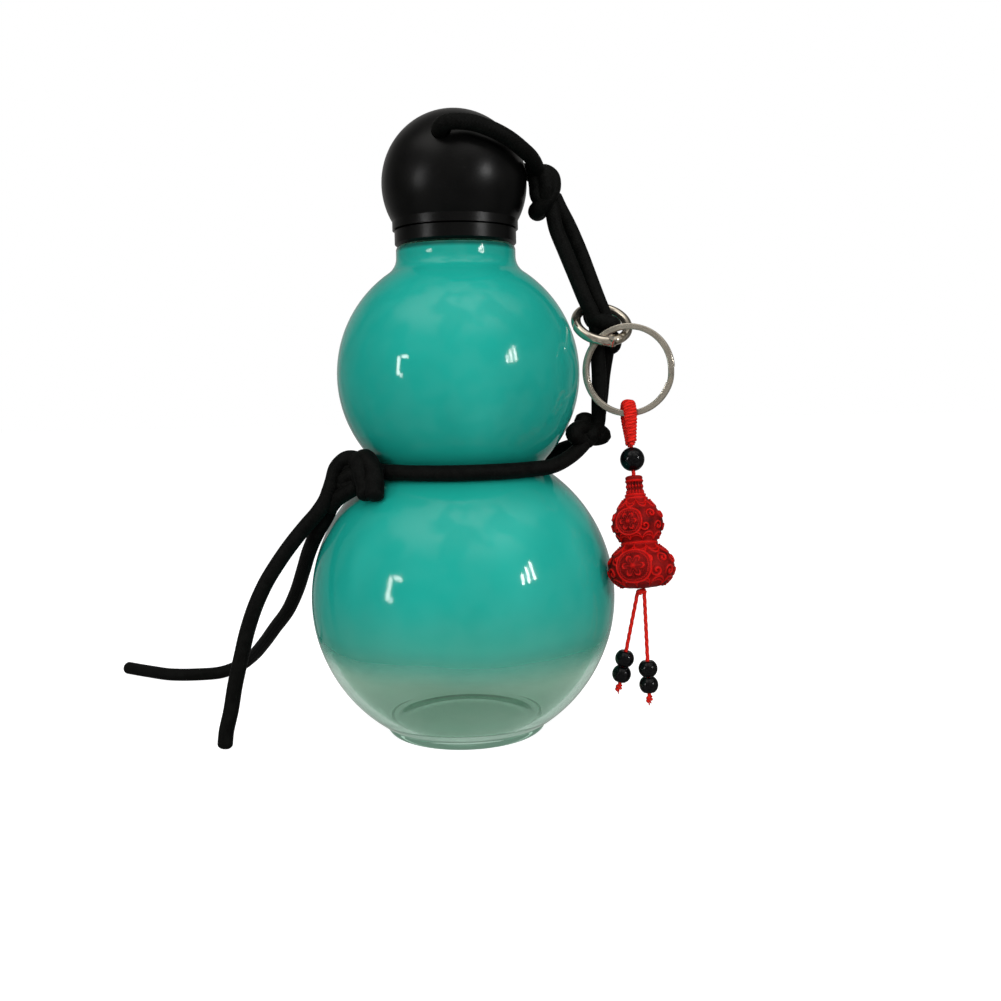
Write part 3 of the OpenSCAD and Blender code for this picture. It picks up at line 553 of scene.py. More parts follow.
def floor_white(name):
    """The plain pale floor, which gives off light toward the camera and through the glass."""
    made, tree, shader = material(name, Emission_Strength=1.0)
    tone = bpy.context.scene.flask_stage.floor[:]
    here = object_place(tree)
    grain = noise(tree, here, 6.0, 2.0)
    shade = blend_colours(tree, spread(tree, grain, 0.3, 0.7, 0.0, 1.0), scaled(tone, 0.99), tone)
    reach = put(tree, "ShaderNodeVectorMath", {0: here}, operation="LENGTH").outputs["Value"]
    shade = blend_colours(tree, spread(tree, reach, 0.1, 0.8, 0.45, 0.97, smooth=True), shade, (0.02, 0.02, 0.02))
    tree.links.new(shade, shader.inputs["Base Color"])
    tree.links.new(spread(tree, grain, 0.3, 0.7, 0.55, 0.62), shader.inputs["Roughness"])
    glow = spread(tree, reach, 0.12, 0.9, 0.93, 1.0, smooth=True)
    rays = put(tree, "ShaderNodeLightPath")
    seen = sums(tree, "MULTIPLY", rays.outputs["Is Camera Ray"], glow)
    seen = sums(tree, "MULTIPLY_ADD", rays.outputs["Is Transmission Ray"], 0.46, seen)
    tree.links.new(blend_colours(tree, seen, (0, 0, 0), (1, 1, 1)), shader.inputs["Emission Color"])
    return made


# ---------------------------------------------------------------- making pieces
def only(obj):
    """Selects one object and nothing else."""
    bpy.ops.object.select_all(action="DESELECT")
    obj.select_set(True)
    bpy.context.view_layer.objects.active = obj


def face_outwards(obj):
    """Turns a closed piece's faces outwards."""
    only(obj)
    bpy.ops.object.mode_set(mode="EDIT")
    bpy.ops.mesh.select_all(action="SELECT")
    bpy.ops.mesh.normals_make_consistent(inside=False)
    bpy.ops.object.mode_set(mode="OBJECT")


def new_object(name, data):
    """An object in the scene around a mesh, a lamp or a camera."""
    obj = bpy.data.objects.new(name, data)
    bpy.context.scene.collection.objects.link(obj)
    return obj


def finish_piece(obj, finish, body, node=None, smooth=None):
    """Gives a piece its material and body, smooths its shading if asked, and hides the CAD node that it stands for."""
    if smooth is not None:
        only(obj)
        bpy.ops.object.shade_smooth_by_angle(angle=math.radians(smooth))
    obj.data.materials.clear()
    obj.data.materials.append(once(finish))
    if node:
        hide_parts(node)
    if body:
        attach(obj, body)
    return obj


def lathe(name, outline, steps):
    """Draws an outline out point by point in edit mode and spins it round the Z axis."""
    bpy.ops.object.select_all(action="DESELECT")
    bpy.ops.mesh.primitive_plane_add(size=0.001)
    obj = bpy.context.active_object
    obj.name = obj.data.name = name
    bpy.ops.object.mode_set(mode="EDIT")
    bpy.ops.mesh.select_all(action="SELECT")
    bpy.ops.mesh.merge(type="CENTER")
    here = Vector((outline[0][0], 0, outline[0][1])) * MM
    bpy.ops.transform.translate(value=here)
    for r, z in outline[1:]:
        there = Vector((r, 0, z)) * MM
        bpy.ops.mesh.extrude_vertices_move(TRANSFORM_OT_translate={"value": there - here})
        here = there
    bpy.ops.mesh.select_all(action="SELECT")
    bpy.ops.mesh.spin(steps=steps, angle=FULL_TURN, center=(0, 0, 0), axis=(0, 0, 1))
    bpy.ops.mesh.select_all(action="SELECT")
    bpy.ops.mesh.remove_doubles(threshold=2e-6)
    bpy.ops.mesh.delete_loose()
    bpy.ops.object.mode_set(mode="OBJECT")
    face_outwards(obj)
    return obj


def dress_solid(node, name, finish, body, smooth):
    """Gives a CAD node a copy with its points merged, smooth shading and a finish."""
    obj = new_object(name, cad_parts[node].data.copy())
    obj.data.name = name
    only(obj)
    bpy.ops.mesh.customdata_custom_splitnormals_clear()
    bpy.ops.object.mode_set(mode="EDIT")
    bpy.ops.mesh.select_all(action="SELECT")
    bpy.ops.mesh.remove_doubles(threshold=1e-6)
    bpy.ops.object.mode_set(mode="OBJECT")
    return finish_piece(obj, finish, body, node, smooth)


def place(obj, matrix):
    """Puts a piece where a matrix says, with its place in its mesh."""
    obj.data.transform(matrix)
    obj.data.update()
    return obj


def shift(*by):
    """The matrix that moves by millimetres."""
    return Matrix.Translation([c * MM for c in by])


def rotate(degrees, axis):
    """The matrix that turns about an axis."""
    return Matrix.Rotation(math.radians(degrees), 4, axis)


def unit(v):
    """Vectors made one long."""
    return v / np.linalg.norm(v, axis=-1, keepdims=True)


def curve_through(points, step):
    """Evenly spaced points on one smooth curve through a route's points, and how far along each is."""
    p = np.array(points, float)
    d = np.r_[0, np.cumsum(np.linalg.norm(np.diff(p, axis=0), axis=1))]
    m = np.gradient(p, d, axis=0)
    fine = []
    for i in range(len(p) - 1):
        h = d[i + 1] - d[i]
        t = np.linspace(0, 1, max(3, int(4 * h / step)), endpoint=False)[:, None]
        fine.append(
            (2 * t**3 - 3 * t**2 + 1) * p[i] + (t**3 - 2 * t**2 + t) * h * m[i]
            + (3 * t**2 - 2 * t**3) * p[i + 1] + (t**3 - t**2) * h * m[i + 1]
        )
    fine = np.vstack(fine + [p[-1:]])
    s = np.r_[0, np.cumsum(np.linalg.norm(np.diff(fine, axis=0), axis=1))]
    at = np.linspace(0, s[-1], max(4, int(round(s[-1] / step)) + 1))
    return np.stack([np.interp(at, s, fine[:, k]) for k in range(3)], 1), at


def carried(path):
    """The way along a path at each of its points, and two vectors square to it, carried along without twist."""
    ahead = unit(np.gradient(path, axis=0))
    side = np.cross(ahead[0], (0, 0, 1) if abs(ahead[0][2]) < 0.9 else (1, 0, 0))
    sides = []
    for t in ahead:
        side = unit(side - np.dot(side, t) * t)
        sides.append(side)
    sides = np.array(sides)
    return ahead, sides, np.cross(ahead, sides)


def round_angles(count):
    """Angles of evenly spaced points round a ring."""
    return FULL_TURN * np.arange(count) / count


def oval_rings(path, angle, wide, side, high, lift):
    """Rings of points round a path, from its half thicknesses along two vectors square to it."""
    return (
        path[:, None, :] + (wide * np.cos(angle))[..., None] * side[:, None, :]
        + (high * np.sin(angle))[..., None] * lift[:, None, :]
    )


class Skins:
    """Gathers skins of rings into one mesh, with coordinates round and along it and the depth of its carving."""

    def __init__(self):
        self.points, self.faces, self.corners, self.cut = [], [], [], []
        self.count = 0

    def add(self, rings, along, tips=None, looped=False, cut=None):
        """Adds rings of points. Their open ends close at two tips, by default at the middles of the end rings."""
        if not looped and tips is None:
            tips = rings[0].mean(0), rings[-1].mean(0)
        n, k = rings.shape[:2]
        base = self.count
        self.points.append(rings.reshape(-1, 3))
        self.cut.append(np.zeros(n * k) if cut is None else cut.reshape(-1))
        self.count += n * k
        i = np.arange(n if looped else n - 1)[:, None]
        j = np.arange(k)[None, :]
        after, beside = (i + 1) % n, (j + 1) % k
        quads = np.stack([base + i * k + j, base + i * k + beside, base + after * k + beside, base + after * k + j], -1)
        self.faces += quads.reshape(-1, 4).tolist()
        v = np.r_[along, 2 * along[-1] - along[-2]]
        u0, u1, v0, v1 = np.broadcast_arrays(j / k, (j + 1) / k, v[i], v[i + 1])
        self.corners.append(np.stack([u0, v0, u1, v0, u1, v1, u0, v1], -1).reshape(-1, 2))
        for tip, row, turned in ((0, 0, True), (1, n - 1, False)) if tips is not None else ():
            self.points.append(np.array(tips[tip], float).reshape(1, 3))
            self.cut.append(np.zeros(1) if cut is None else cut[row].mean().reshape(1))
            pole, self.count = self.count, self.count + 1
            for q in range(k):
                a, b = base + row * k + q, base + row * k + (q + 1) % k
                self.faces.append((b, a, pole) if turned else (a, b, pole))
                ends = [((q + 1) / k, along[row]), (q / k, along[row])]
                ends = ends if turned else ends[::-1]
                self.corners.append(np.array(ends + [((q + 0.5) / k, along[row])]))

    def build(self, name):
        """Makes the piece from all that was added."""
        mesh = bpy.data.meshes.new(name)
        mesh.from_pydata((np.vstack(self.points) * MM).tolist(), [], self.faces)
        layer = mesh.uv_layers.new(name="UVMap")
        layer.data.foreach_set("uv", np.vstack(self.corners).astype(np.float32).ravel())
        made = mesh.attributes.new("cut", "FLOAT", "POINT")
        made.data.foreach_set("value", np.concatenate(self.cut).astype(np.float32))
        mesh.shade_smooth()
        return new_object(name, mesh)


def cord_skin(skins, points, across, around=36, step=0.4, twist=None):
    """Adds a cord along a route in millimetres, with rounded ends. Returns its centre line."""
    path, along = curve_through(points, step)
    ahead, side, other = carried(path)
    angle = round_angles(around)
    half = np.full(len(path), across / 2)
    rounded, least, tip = 0.3 * across, 0.04, 0.05
    for far in (along, along[-1] - along):
        x = np.clip(far / rounded, 0.0, 1.0)
        half = half * np.sqrt((1 - (1 - x) ** 2) * (1 - least) + least)
    radius = np.repeat(half[:, None], around, 1)
    if twist:
        strands, lead, deep = twist
        radius = radius * (1 + deep * (np.cos(strands * angle[None, :] - FULL_TURN * along[:, None] / lead) - 1))
    rings = oval_rings(path, angle, radius, side, radius, other)
    skins.add(rings, along / COORDINATE_STEP, tips=(path[0] - ahead[0] * tip, path[-1] + ahead[-1] * tip))
    return path


def black_cord(name, body, node, *strands):
    """Strands of the black cord as one piece. A strand is its thickness, or None for the usual one, and its route."""
    usual = bpy.context.scene.flask_cord.across * MM_PER_M
    skins = Skins()
    for across, *route in strands:
        cord_skin(skins, route, across or usual)
    return finish_piece(skins.build(name), black_sleeve, body, node)


def arc_points(centre, radius, start, stop, steps):
    """Points (r, z) on an arc, angles in degrees."""
    return [
        (centre[0] + radius * math.cos(math.radians(a)), centre[1] + radius * math.sin(math.radians(a)))
        for a in np.linspace(start, stop, steps)
    ]


def flask_side(grow, from_z, top_z):
    """The flask's outside from one height to another, grown by a distance."""
    low = math.degrees(math.atan2(WAIST_Z - LOWER_Z, WAIST_R))
    high = math.degrees(math.atan2(WAIST_Z - UPPER_Z, WAIST_R))
    top = math.degrees(math.atan2(SHOULDER_Z - UPPER_Z, SHOULDER_R))
    start = math.degrees(math.asin((from_z - LOWER_Z) / (LOWER_R + grow)))
    side = arc_points((0, LOWER_Z), LOWER_R + grow, start, low, 46)
    side += arc_points((WAIST_R, WAIST_Z), WAIST_FILLET - grow, low + 180, high + 180, 9)[1:]
    side += arc_points((0, UPPER_Z), UPPER_R + grow, high, top, 38)[1:]
    side += arc_points((SHOULDER_R, SHOULDER_Z), SHOULDER_FILLET - grow, top + 180, 180, 9)[1:]
    return [p for p in side if p[1] < top_z]


# ---------------------------------------------------------------- operators
class FLASK_OT_stage(bpy.types.Operator):
    """Sets the camera, the pale floor and the soft studio light"""

    bl_idname = "flask.stage"
    bl_label = "Stage"

    def light(self, name, spot, aim, size, power, mirrored):
        """A flat lamp at a spot in metres, turned toward an aim. The gloss of a piece may mirror it."""
        lamp = bpy.data.lights.new(name, "AREA")
        lamp.shape = "RECTANGLE"
        lamp.size, lamp.size_y = size
        lamp.energy = power
        obj = new_object(name, lamp)
        obj.location = spot
        obj.rotation_euler = (Vector(aim) - Vector(spot)).to_track_quat("-Z", "Y").to_euler()
        obj.visible_glossy = mirrored

    def camera(self, context):
        """The camera where the photographer stood."""
        pitch, yaw, roll = (math.radians(a) for a in CAMERA_TURN)
        ahead = Vector((math.sin(yaw) * math.cos(pitch), math.cos(yaw) * math.cos(pitch), -math.sin(pitch)))
        right = Vector((math.cos(yaw), -math.sin(yaw), 0))
        up = right.cross(ahead)
        right, up = math.cos(roll) * right + math.sin(roll) * up, math.cos(roll) * up - math.sin(roll) * right
        data = bpy.data.cameras.new("camera")
        data.lens, data.sensor_width, data.clip_start = CAMERA_LENS, 36.0, 0.01
        camera = new_object("camera", data)
        turn = Matrix((right, up, -ahead)).transposed()
        camera.matrix_world = Matrix.Translation(CAMERA_PLACE) @ turn.to_4x4()
        context.scene.camera = camera

    def floor(self, context):
        """The plain pale floor, which isn't mirrored in the pieces."""
        bpy.ops.object.select_all(action="DESELECT")
        bpy.ops.mesh.primitive_plane_add(size=6.0, location=(0, 0, 0))
        floor = context.active_object
        floor.name = floor.data.name = "floor"
        bpy.ops.object.mode_set(mode="EDIT")
        bpy.ops.mesh.select_all(action="SELECT")
        bpy.ops.mesh.subdivide(number_cuts=5)
        bpy.ops.object.mode_set(mode="OBJECT")
        floor.data.materials.append(once(floor_white))
        floor.visible_glossy = False

    def lights(self, context):
        """Two large soft lamps that aren't mirrored, and small ones that give the glass its window highlights."""
        look = context.scene.flask_stage
        self.light("key", (-0.15, -1.0, 0.75), (0, 0, 0.09), (1.3, 1.0), look.key * 4.6, False)
        self.light("overhead", (0.1, -0.25, 1.2), (0, 0, 0.05), (1.0, 0.8), look.key * 1.7, False)
        for name, spot, size, share in (
            ("left_tall", (-0.83, -0.56, 0.24), (0.05, 0.25), 0.40),
            ("left_top", (-0.76, -0.64, 0.37), (0.13, 0.05), 0.18),
            ("left_low", (-0.80, -0.60, 0.12), (0.05, 0.06), 0.06),
            ("right_first", (0.80, -0.585, 0.41), (0.03, 0.22), 0.4),
            ("right_second", (0.755, -0.645, 0.38), (0.03, 0.18), 0.34),
            ("right_third", (0.705, -0.70, 0.345), (0.03, 0.11), 0.2),
        ):
            self.light(name, spot, (0, 0, 0.1), size, look.windows * share, True)

    def surroundings(self, context):
        """White around the view, dimmer as light, and a soft uneven room in what the pieces mirror."""
        world = bpy.data.worlds.new("studio")
        context.scene.world = world
        world.use_nodes = True
        tree = world.node_tree
        back = tree.nodes["Background"]
        rays = put(tree, "ShaderNodeLightPath")
        glance = put(tree, "ShaderNodeTexCoord").outputs["Generated"]
        parts = put(tree, "ShaderNodeSeparateXYZ", {0: glance})
        front = spread(tree, parts.outputs[1], -0.5, 0.3, 0.30, 0.12, smooth=True)
        behind = spread(tree, parts.outputs[1], 0.45, 0.95, 0.0, 0.24, smooth=True)
        above = spread(tree, parts.outputs[2], 0.5, 0.86, 0.0, 1.3, smooth=True)
        above = sums(tree, "MULTIPLY", above, spread(tree, parts.outputs[1], -0.4, 0.3, 1.0, 0.0, smooth=True))
        room = spread(tree, noise(tree, glance, 3.2, 1.5), 0.40, 0.60, 0.45, 1.35, smooth=True)
        gleam = sums(tree, "MULTIPLY_ADD", sums(tree, "ADD", front, above), room, behind)
        shade = blend_colours(tree, rays.outputs["Is Glossy Ray"], (0.22, 0.22, 0.225), (1.0, 0.985, 0.955))
        shade = blend_colours(tree, rays.outputs["Is Transmission Ray"], shade, (0.46, 0.47, 0.45))
        tree.links.new(blend_colours(tree, rays.outputs["Is Camera Ray"], shade, (1, 1, 1)), back.inputs[0])
        less = sums(tree, "SUBTRACT", gleam, 1.0)
        tree.links.new(sums(tree, "MULTIPLY_ADD", rays.outputs["Is Glossy Ray"], less, 1.0), back.inputs[1])
        context.scene.view_settings.view_transform = "Standard"

    def execute(self, context):
        for part in (self.camera, self.floor, self.lights, self.surroundings):
            part(context)
        return {"FINISHED"}


class FLASK_OT_tails(bpy.types.Operator):
    """Lays the two long free ends of the lanyard's cord"""

    bl_idname = "flask.tails"
    bl_label = "Cord ends"

    def execute(self, context):
        across = context.scene.flask_cord.across
        for name, root, route, lay in (
            ("tail_front", (-39, -14.7, 79.4), TAIL_FRONT, "hanging"),
            ("tail_back", (-37.9, -10.6, 79.4), TAIL_BACK, "loose"),
        ):
            skins = Skins()
            line = cord_skin(skins, [root] + route, across * MM_PER_M) * MM
            tail = finish_piece(skins.build(f"{name}_sleeve"), black_sleeve, "bottle", name)
        return {"FINISHED"}


class FLASK_OT_strands(bpy.types.Operator):
    """Runs the lanyard's strands from the cap to the ring and round the waist"""

    bl_idname = "flask.strands"
    bl_label = "Lanyard strands"

    def execute(self, context):
        for name, node, body, route in (
            ("loop_front", "cap_loop_front", "lanyard_top", LOOP_FRONT + [(25.3, -2.2, 167.5)]),
            ("loop_back", "cap_loop_back", "lanyard_top", LOOP_BACK + [(27.4, 1.8, 167)]),
            ("upper_front", "side_cord_upper_front", None, [(28.6, -0.6, 166.5)] + UPPER_FRONT + [(42.2, -4.3, 126.4)]),
            ("upper_back", "side_cord_upper_back", None, [(30.2, 0.4, 166.5)] + UPPER_BACK + [(46.2, -1.6, 126)]),
            ("lower_front", "side_cord_lower_front", "bottle",
             [(41.9, -4.5, 127.8)] + LOWER_FRONT + [(42.2, -2.6, 93.4)]),
            ("lower_back", "side_cord_lower_back", "bottle", [(45.9, -1.8, 127)] + LOWER_BACK + [(42.2, 2.8, 93.6)]),
            ("waist_front", "waist_cord_front", "bottle", [(39.6, -3.8, 91.4)] + WAIST_FRONT),
            ("waist_back", "waist_cord_back", "bottle", [(40.6, 3.2, 92.8)] + WAIST_BACK),
        ):
            strand = black_cord(f"{name}_sleeve", body, node, (None, *route))
            if body is None:
                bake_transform(strand)
        return {"FINISHED"}


class FLASK_OT_knots(bpy.types.Operator):
    """Ties the knots at the cap, the ring and both sides of the waist"""

    bl_idname = "flask.knots"
    bl_label = "Knots"

    def execute(self, context):
        for node, body, strands in KNOTS:
            black_cord(f"{node}_wraps", body, node, *strands)
        return {"FINISHED"}


class FLASK_OT_glass(bpy.types.Operator):
    """Spins the clear glass flask with its foot, wall, lip and screw thread"""

    bl_idname = "flask.glass"
    bl_label = "Glass flask"

    def execute(self, context):
        wall = context.scene.flask_glass.wall * MM_PER_M
        outline = [(0, 1.3), (8, 1.25), (16, 1.0), (18.5, 0.8), (20.5, 0.52), (22, 0.2)]
        outline += arc_points((FOOT_R - 1.75, 1.8), 1.8, -90, -2, 16)
        outline += flask_side(0, FOOT_H, SEAT_Z - 0.8)
        outline += [
            (NECK_R, SEAT_Z - 0.8), (NECK_R - 0.2, SEAT_Z - 0.25), (NECK_R - 0.7, SEAT_Z), (FINISH_R + 0.5, SEAT_Z),
            (FINISH_R + 0.1, SEAT_Z + 0.2), (FINISH_R, SEAT_Z + 0.7), (FINISH_R, MOUTH_Z - 1),
        ]
        outline += arc_points((FINISH_R - 1, MOUTH_Z - 1), 1, 15, 90, 6)
        outline += [
            (MOUTH_R + 0.6, MOUTH_Z), (MOUTH_R + 0.15, MOUTH_Z - 0.25), (MOUTH_R, MOUTH_Z - 0.8), (MOUTH_R, 149.2),
            (MOUTH_R + 0.5, 147.8), (MOUTH_R + 2, 146.2), (15.4, 144.9),
        ]
        outline += flask_side(-wall, 5.6, 144.2)[::-1]
        outline += [(23.4, 4.9), (22.6, 4.45), (21.5, 4.2), (19, 4.15), (12, 4.3), (0, 4.4)]
        glass = lathe("glass_flask", outline, FLASK_STEPS)
        finish_piece(glass, clear_glass, "bottle", "bottle_body", smooth=50)

        turns, pitch, start, run_out = 1.4, 5.0, 2.6, 0.12
        at = np.linspace(0, turns, int(turns * 96))
        angle = FULL_TURN * at
        grow = np.clip(np.minimum(at, turns - at) / run_out, 0.02, 1) ** 0.6
        section = [(-0.25, -1.1), (0.7, -0.75), (1.15, -0.3), (1.15, 0.3), (0.7, 0.75), (-0.25, 1.1)]
        out = np.stack([np.cos(angle), np.sin(angle), np.zeros_like(angle)], 1)
        rings = np.stack([out * (FINISH_R + min(x, 0) + max(x, 0) * grow)[:, None] for x, _ in section], 1)
        rings[..., 2] = (SEAT_Z + start + pitch * at)[:, None] + np.array([h for _, h in section]) * grow[:, None]
        skins = Skins()
        skins.add(rings, at * 9)
        finish_piece(skins.build("glass_thread"), clear_glass, "bottle", smooth=60)
        return {"FINISHED"}


class FLASK_OT_coat(bpy.types.Operator):
    """Sprays the teal coat that fades out above the foot"""

    bl_idname = "flask.coat"
    bl_label = "Sprayed coat"

    def execute(self, context):
        from_z, top_z = 12.0, SEAT_Z - 0.7
        outside = flask_side(0.10, from_z, top_z) + [(NECK_R + 0.1, SEAT_Z - 0.75), (NECK_R - 0.1, SEAT_Z - 0.18)]
        inside = flask_side(0.02, from_z, top_z) + [(NECK_R + 0.02, SEAT_Z - 0.78), (NECK_R - 0.16, SEAT_Z - 0.24)]
        coat = lathe("tint_coat", outside + inside[::-1] + outside[:1], FLASK_STEPS)
        finish_piece(coat, sprayed_tint, "bottle", smooth=50)
        return {"FINISHED"}


class FLASK_OT_cap(bpy.types.Operator):
    """Finishes the ball cap, its liner and seal, and threads the cord through it"""

    bl_idname = "flask.cap"
    bl_label = "Ball cap"

    def execute(self, context):
        for node, name, finish, slot in (
            ("cap_shell", "cap_ball", cap_black, "cap_plastic"),
            ("cap_liner", "cap_liner_cup", liner_black, "liner_plastic"),
            ("cap_seal", "cap_seal_disc", seal_white, "silicone"),
        ):
            dress_solid(node, name, finish, "cap", 28)
        a = math.radians(HOLE_TURN)
        reach = [HOLE_REACH * t for t in (1.04, 0.7, 0.3, 0, -0.3, -0.7, -1.04)]
        route = [(d * math.cos(a), d * math.sin(a), HOLE_Z) for d in reach]
        black_cord("cap_cord_sleeve", "cap", "cap_cord", (None, *route))
        return {"FINISHED"}


class FLASK_OT_gate_ring(bpy.types.Operator):
    """Finishes the spring-gate ring with its gate, pin and return spring"""

    bl_idname = "flask.gate_ring"
    bl_label = "Spring-gate ring"

    def execute(self, context):
        for node, name, finish, body in (
            ("clip_ring", "gate_ring_body", polished_nickel, "carrier"),
            ("clip_gate", "gate_ring_gate", polished_nickel, "gate"),
            ("clip_pin", "gate_ring_pin", bright_steel, "carrier"),
        ):
            dress_solid(node, name, finish, body, 32)
        hinge, centre_line, lean = 67, 8.1, 13
        plane = (
            Matrix.Translation(CLIP_PLACE) @ rotate(9, "Y") @ rotate(42, "X") @ Matrix.Scale(-1, 4, (0, 1, 0))
        )
        pin = Vector((math.cos(math.radians(hinge)), math.sin(math.radians(hinge)), 0)) * centre_line
        bore = plane @ Matrix.Translation(pin) @ rotate(hinge - 90 - lean, "Z") @ rotate(90, "Y")
        turns, per, radius, start, pitch = 4, 24, 0.55, 1.5, 0.75
        coil = []
        for i in range(turns * per + 1):
            a = FULL_TURN * i / per
            coil.append(tuple(bore @ Vector((radius * math.cos(a), radius * math.sin(a), start + pitch * i / per))))
        skins = Skins()
        cord_skin(skins, coil, 0.3, around=10, step=0.09)
        finish_piece(skins.build("gate_ring_spring"), bright_steel, "carrier", "clip_spring")
        return {"FINISHED"}


class FLASK_OT_split_ring(bpy.types.Operator):
    """Winds the split ring twice from one flat wire"""

    bl_idname = "flask.split_ring"
    bl_label = "Split ring"

    def execute(self, context):
        radius, wide, thick, pitch, rounded = 13.1, 1.8, 1.1, 1.55, 0.3
        step, notch = 11.0, -8.0  # degrees of the step between the two turns, and where it is
        turn = np.linspace(step / 360, 2 - step / 360, 560)
        t = np.clip((turn * 360 - 360 + step) / (2 * step), 0, 1)
        level = ((1 - np.cos(np.pi * t)) / 2 - 0.5) * pitch
        a = np.radians(notch + turn * 360)
        out = np.stack([np.cos(a), np.sin(a), np.zeros_like(a)], 1)
        w, h = wide / 2 - rounded, thick / 2 - rounded
        section = []
        for centre, from_a in (((w, h), 0), ((-w, h), 90), ((-w, -h), 180), ((w, -h), 270)):
            section += arc_points(centre, rounded, from_a, from_a + 90, 4)
        rings = [out * (radius + x) + np.array((0, 0, 1.0)) * (level + z)[:, None] for x, z in section[::-1]]
        skins = Skins()
        skins.add(np.stack(rings, 1), turn * 8)
        ring = place(skins.build("split_ring_wire"), shift(*SPLIT_PLACE) @ rotate(-20, "Z") @ rotate(90, "X"))
        face_outwards(ring)
        finish_piece(ring, plated_nickel, "key_ring", "split_ring", smooth=40)
        return {"FINISHED"}


CHARM = shift(*CHARM_PLACE) @ rotate(-13.146, "X") @ rotate(-2.2, "Y")
LOOP_LEG, LOOP_BEND, LOOP_FOOT = 10.2, 3.1, 1.6
LOOP_LEN = 2 * LOOP_LEG + math.pi * LOOP_BEND
LOOP_WIDE, LOOP_THICK = (1.4, 1.95), (0.95, 1.05)  # half the loop's measures at its feet and at its bend


def ease(t):
    """A share that starts and ends softly."""
    return (1 - math.cos(math.pi * t)) / 2


def loop_point(s):
    """Centre line of the hanging loop: up the front leg, over the split ring and down the back leg."""
    if LOOP_LEG <= s <= LOOP_LEG + math.pi * LOOP_BEND:
        a = (s - LOOP_LEG) / LOOP_BEND
        return np.array((0, -LOOP_BEND * math.cos(a), LOOP_BEND * math.sin(a)))
    front = s < LOOP_LEG
    down = LOOP_LEG - s if front else s - LOOP_LEG - math.pi * LOOP_BEND
    reach = LOOP_BEND + (LOOP_FOOT - LOOP_BEND) * ease(min(1, down / LOOP_LEG))
    return np.array((0, -reach if front else reach, -down))


def loop_frame(s):
    """The loop's point, two vectors square to its line and its half thicknesses along them."""
    ahead = unit(loop_point(min(s + 0.05, LOOP_LEN)) - loop_point(max(s - 0.05, 0)))
    share = ease(min(1, min(s, LOOP_LEN - s) / LOOP_LEG))
    half = [foot + (bend - foot) * share for foot, bend in (LOOP_WIDE, LOOP_THICK)]
    return loop_point(s), np.array((1.0, 0, 0)), np.cross(ahead, (1, 0, 0)), half


def red_cord(skins, across, *heights):
    """Adds a cord of three twisted red strands, straight down through some heights in millimetres."""
    cord_skin(skins, [(0, 0, z) for z in heights], across, around=18, step=0.16, twist=(3, 2.4, 0.09))


class FLASK_OT_charm_loop(bpy.types.Operator):
    """Makes the charm's hanging loop and winds it with red thread"""

    bl_idname = "flask.charm_loop"
    bl_label = "Charm loop"

    def execute(self, context):
        along = np.linspace(0, LOOP_LEN, 90)
        point, x, y, half = (np.array(part) for part in zip(*(loop_frame(s) for s in along)))
        skins = Skins()
        rings = oval_rings(point, round_angles(24), half[:, :1] - 0.55, x, half[:, 1:] - 0.5, y)
        skins.add(rings, along / COORDINATE_STEP)
        core = place(skins.build("loop_core"), CHARM)
        face_outwards(core)
        finish_piece(core, red_strand, "charm", "charm_loop")

        turns, per, wide, high, margin = 28, 36, 0.60, 0.44, 0.8
        path, lift = [], []
        for i in range(turns * per + 1):
            share = i / per - 0.10 * math.sin(FULL_TURN * (i / per - 0.75))
            s = min(max(margin + (LOOP_LEN - 2 * margin) * share / turns, 0.0), LOOP_LEN)
            a = FULL_TURN * i / per
            point, x, y, half = loop_frame(s)
            path.append(point + (half[0] - 0.32) * math.cos(a) * x + (half[1] - 0.30) * math.sin(a) * y)
            lift.append(unit(half[1] * math.cos(a) * x + half[0] * math.sin(a) * y))
        path = np.array(path)
        ahead = unit(np.gradient(path, axis=0))
        side = unit(np.cross(np.array(lift), ahead))
        angle, place_at = round_angles(14), np.arange(len(path))
        grow = np.clip(np.minimum(place_at, place_at[::-1]) / 14, 0.15, 1) ** 0.7
        ply = 1 + 0.07 * np.cos(3 * angle[None, :] - FULL_TURN * place_at[:, None] / 9)
        thick = grow[:, None] * ply
        skins = Skins()
        skins.add(oval_rings(path, angle, wide * thick, side, high * thick, np.cross(ahead, side)), place_at * 0.012)
        thread = place(skins.build("loop_thread"), CHARM)
        face_outwards(thread)
        finish_piece(thread, red_strand, "charm", "charm_thread")

        skins = Skins()
        red_cord(skins, 1.26, -10.4, -18, -30, -42, -53.2)
        foot = [(1.05 * math.cos(a) - 0.5, 0.55 * math.sin(a), -53.7 - 0.1 * a) for a in np.linspace(0, 11, 36)]
        cord_skin(skins, foot, 1.05, around=12, step=0.14)
        finish_piece(place(skins.build("charm_cord_twist"), CHARM), red_strand, "charm", "charm_cord")
        return {"FINISHED"}


def bead_outline(across, high, bore):
    """Half a bead in section, with softened holes."""
    r, half = across / 2, high / 2
    top = math.degrees(math.asin(min(0.97, high / across)))
    face = r * math.cos(math.radians(top))
    upper = [(bore, 0), (bore, half - 0.25), (bore + 0.1, half - 0.06), (bore + 0.3, half)]
    if face > bore + 0.6:
        upper.append((face - 0.25, half))
    return upper + arc_points((0, 0), r, top - 3, 3 - top, 30) + [(x, -z) for x, z in reversed(upper)]


class FLASK_OT_beads(bpy.types.Operator):
    """Turns the round bead above the gourd"""

    bl_idname = "flask.beads"
    bl_label = "Bead"

    def execute(self, context):
        bead = lathe("bead_large", bead_outline(7.4, 7.05, 0.7), 72)
        place(bead, CHARM @ shift(0, 0, -LARGE_BEAD_DOWN))
        finish_piece(bead, bead_black, "charm", "charm_bead", smooth=40)
        return {"FINISHED"}


def bump_line(distance, width):
    """A soft ridge at no distance."""
    return np.exp(-((distance / width) ** 2))


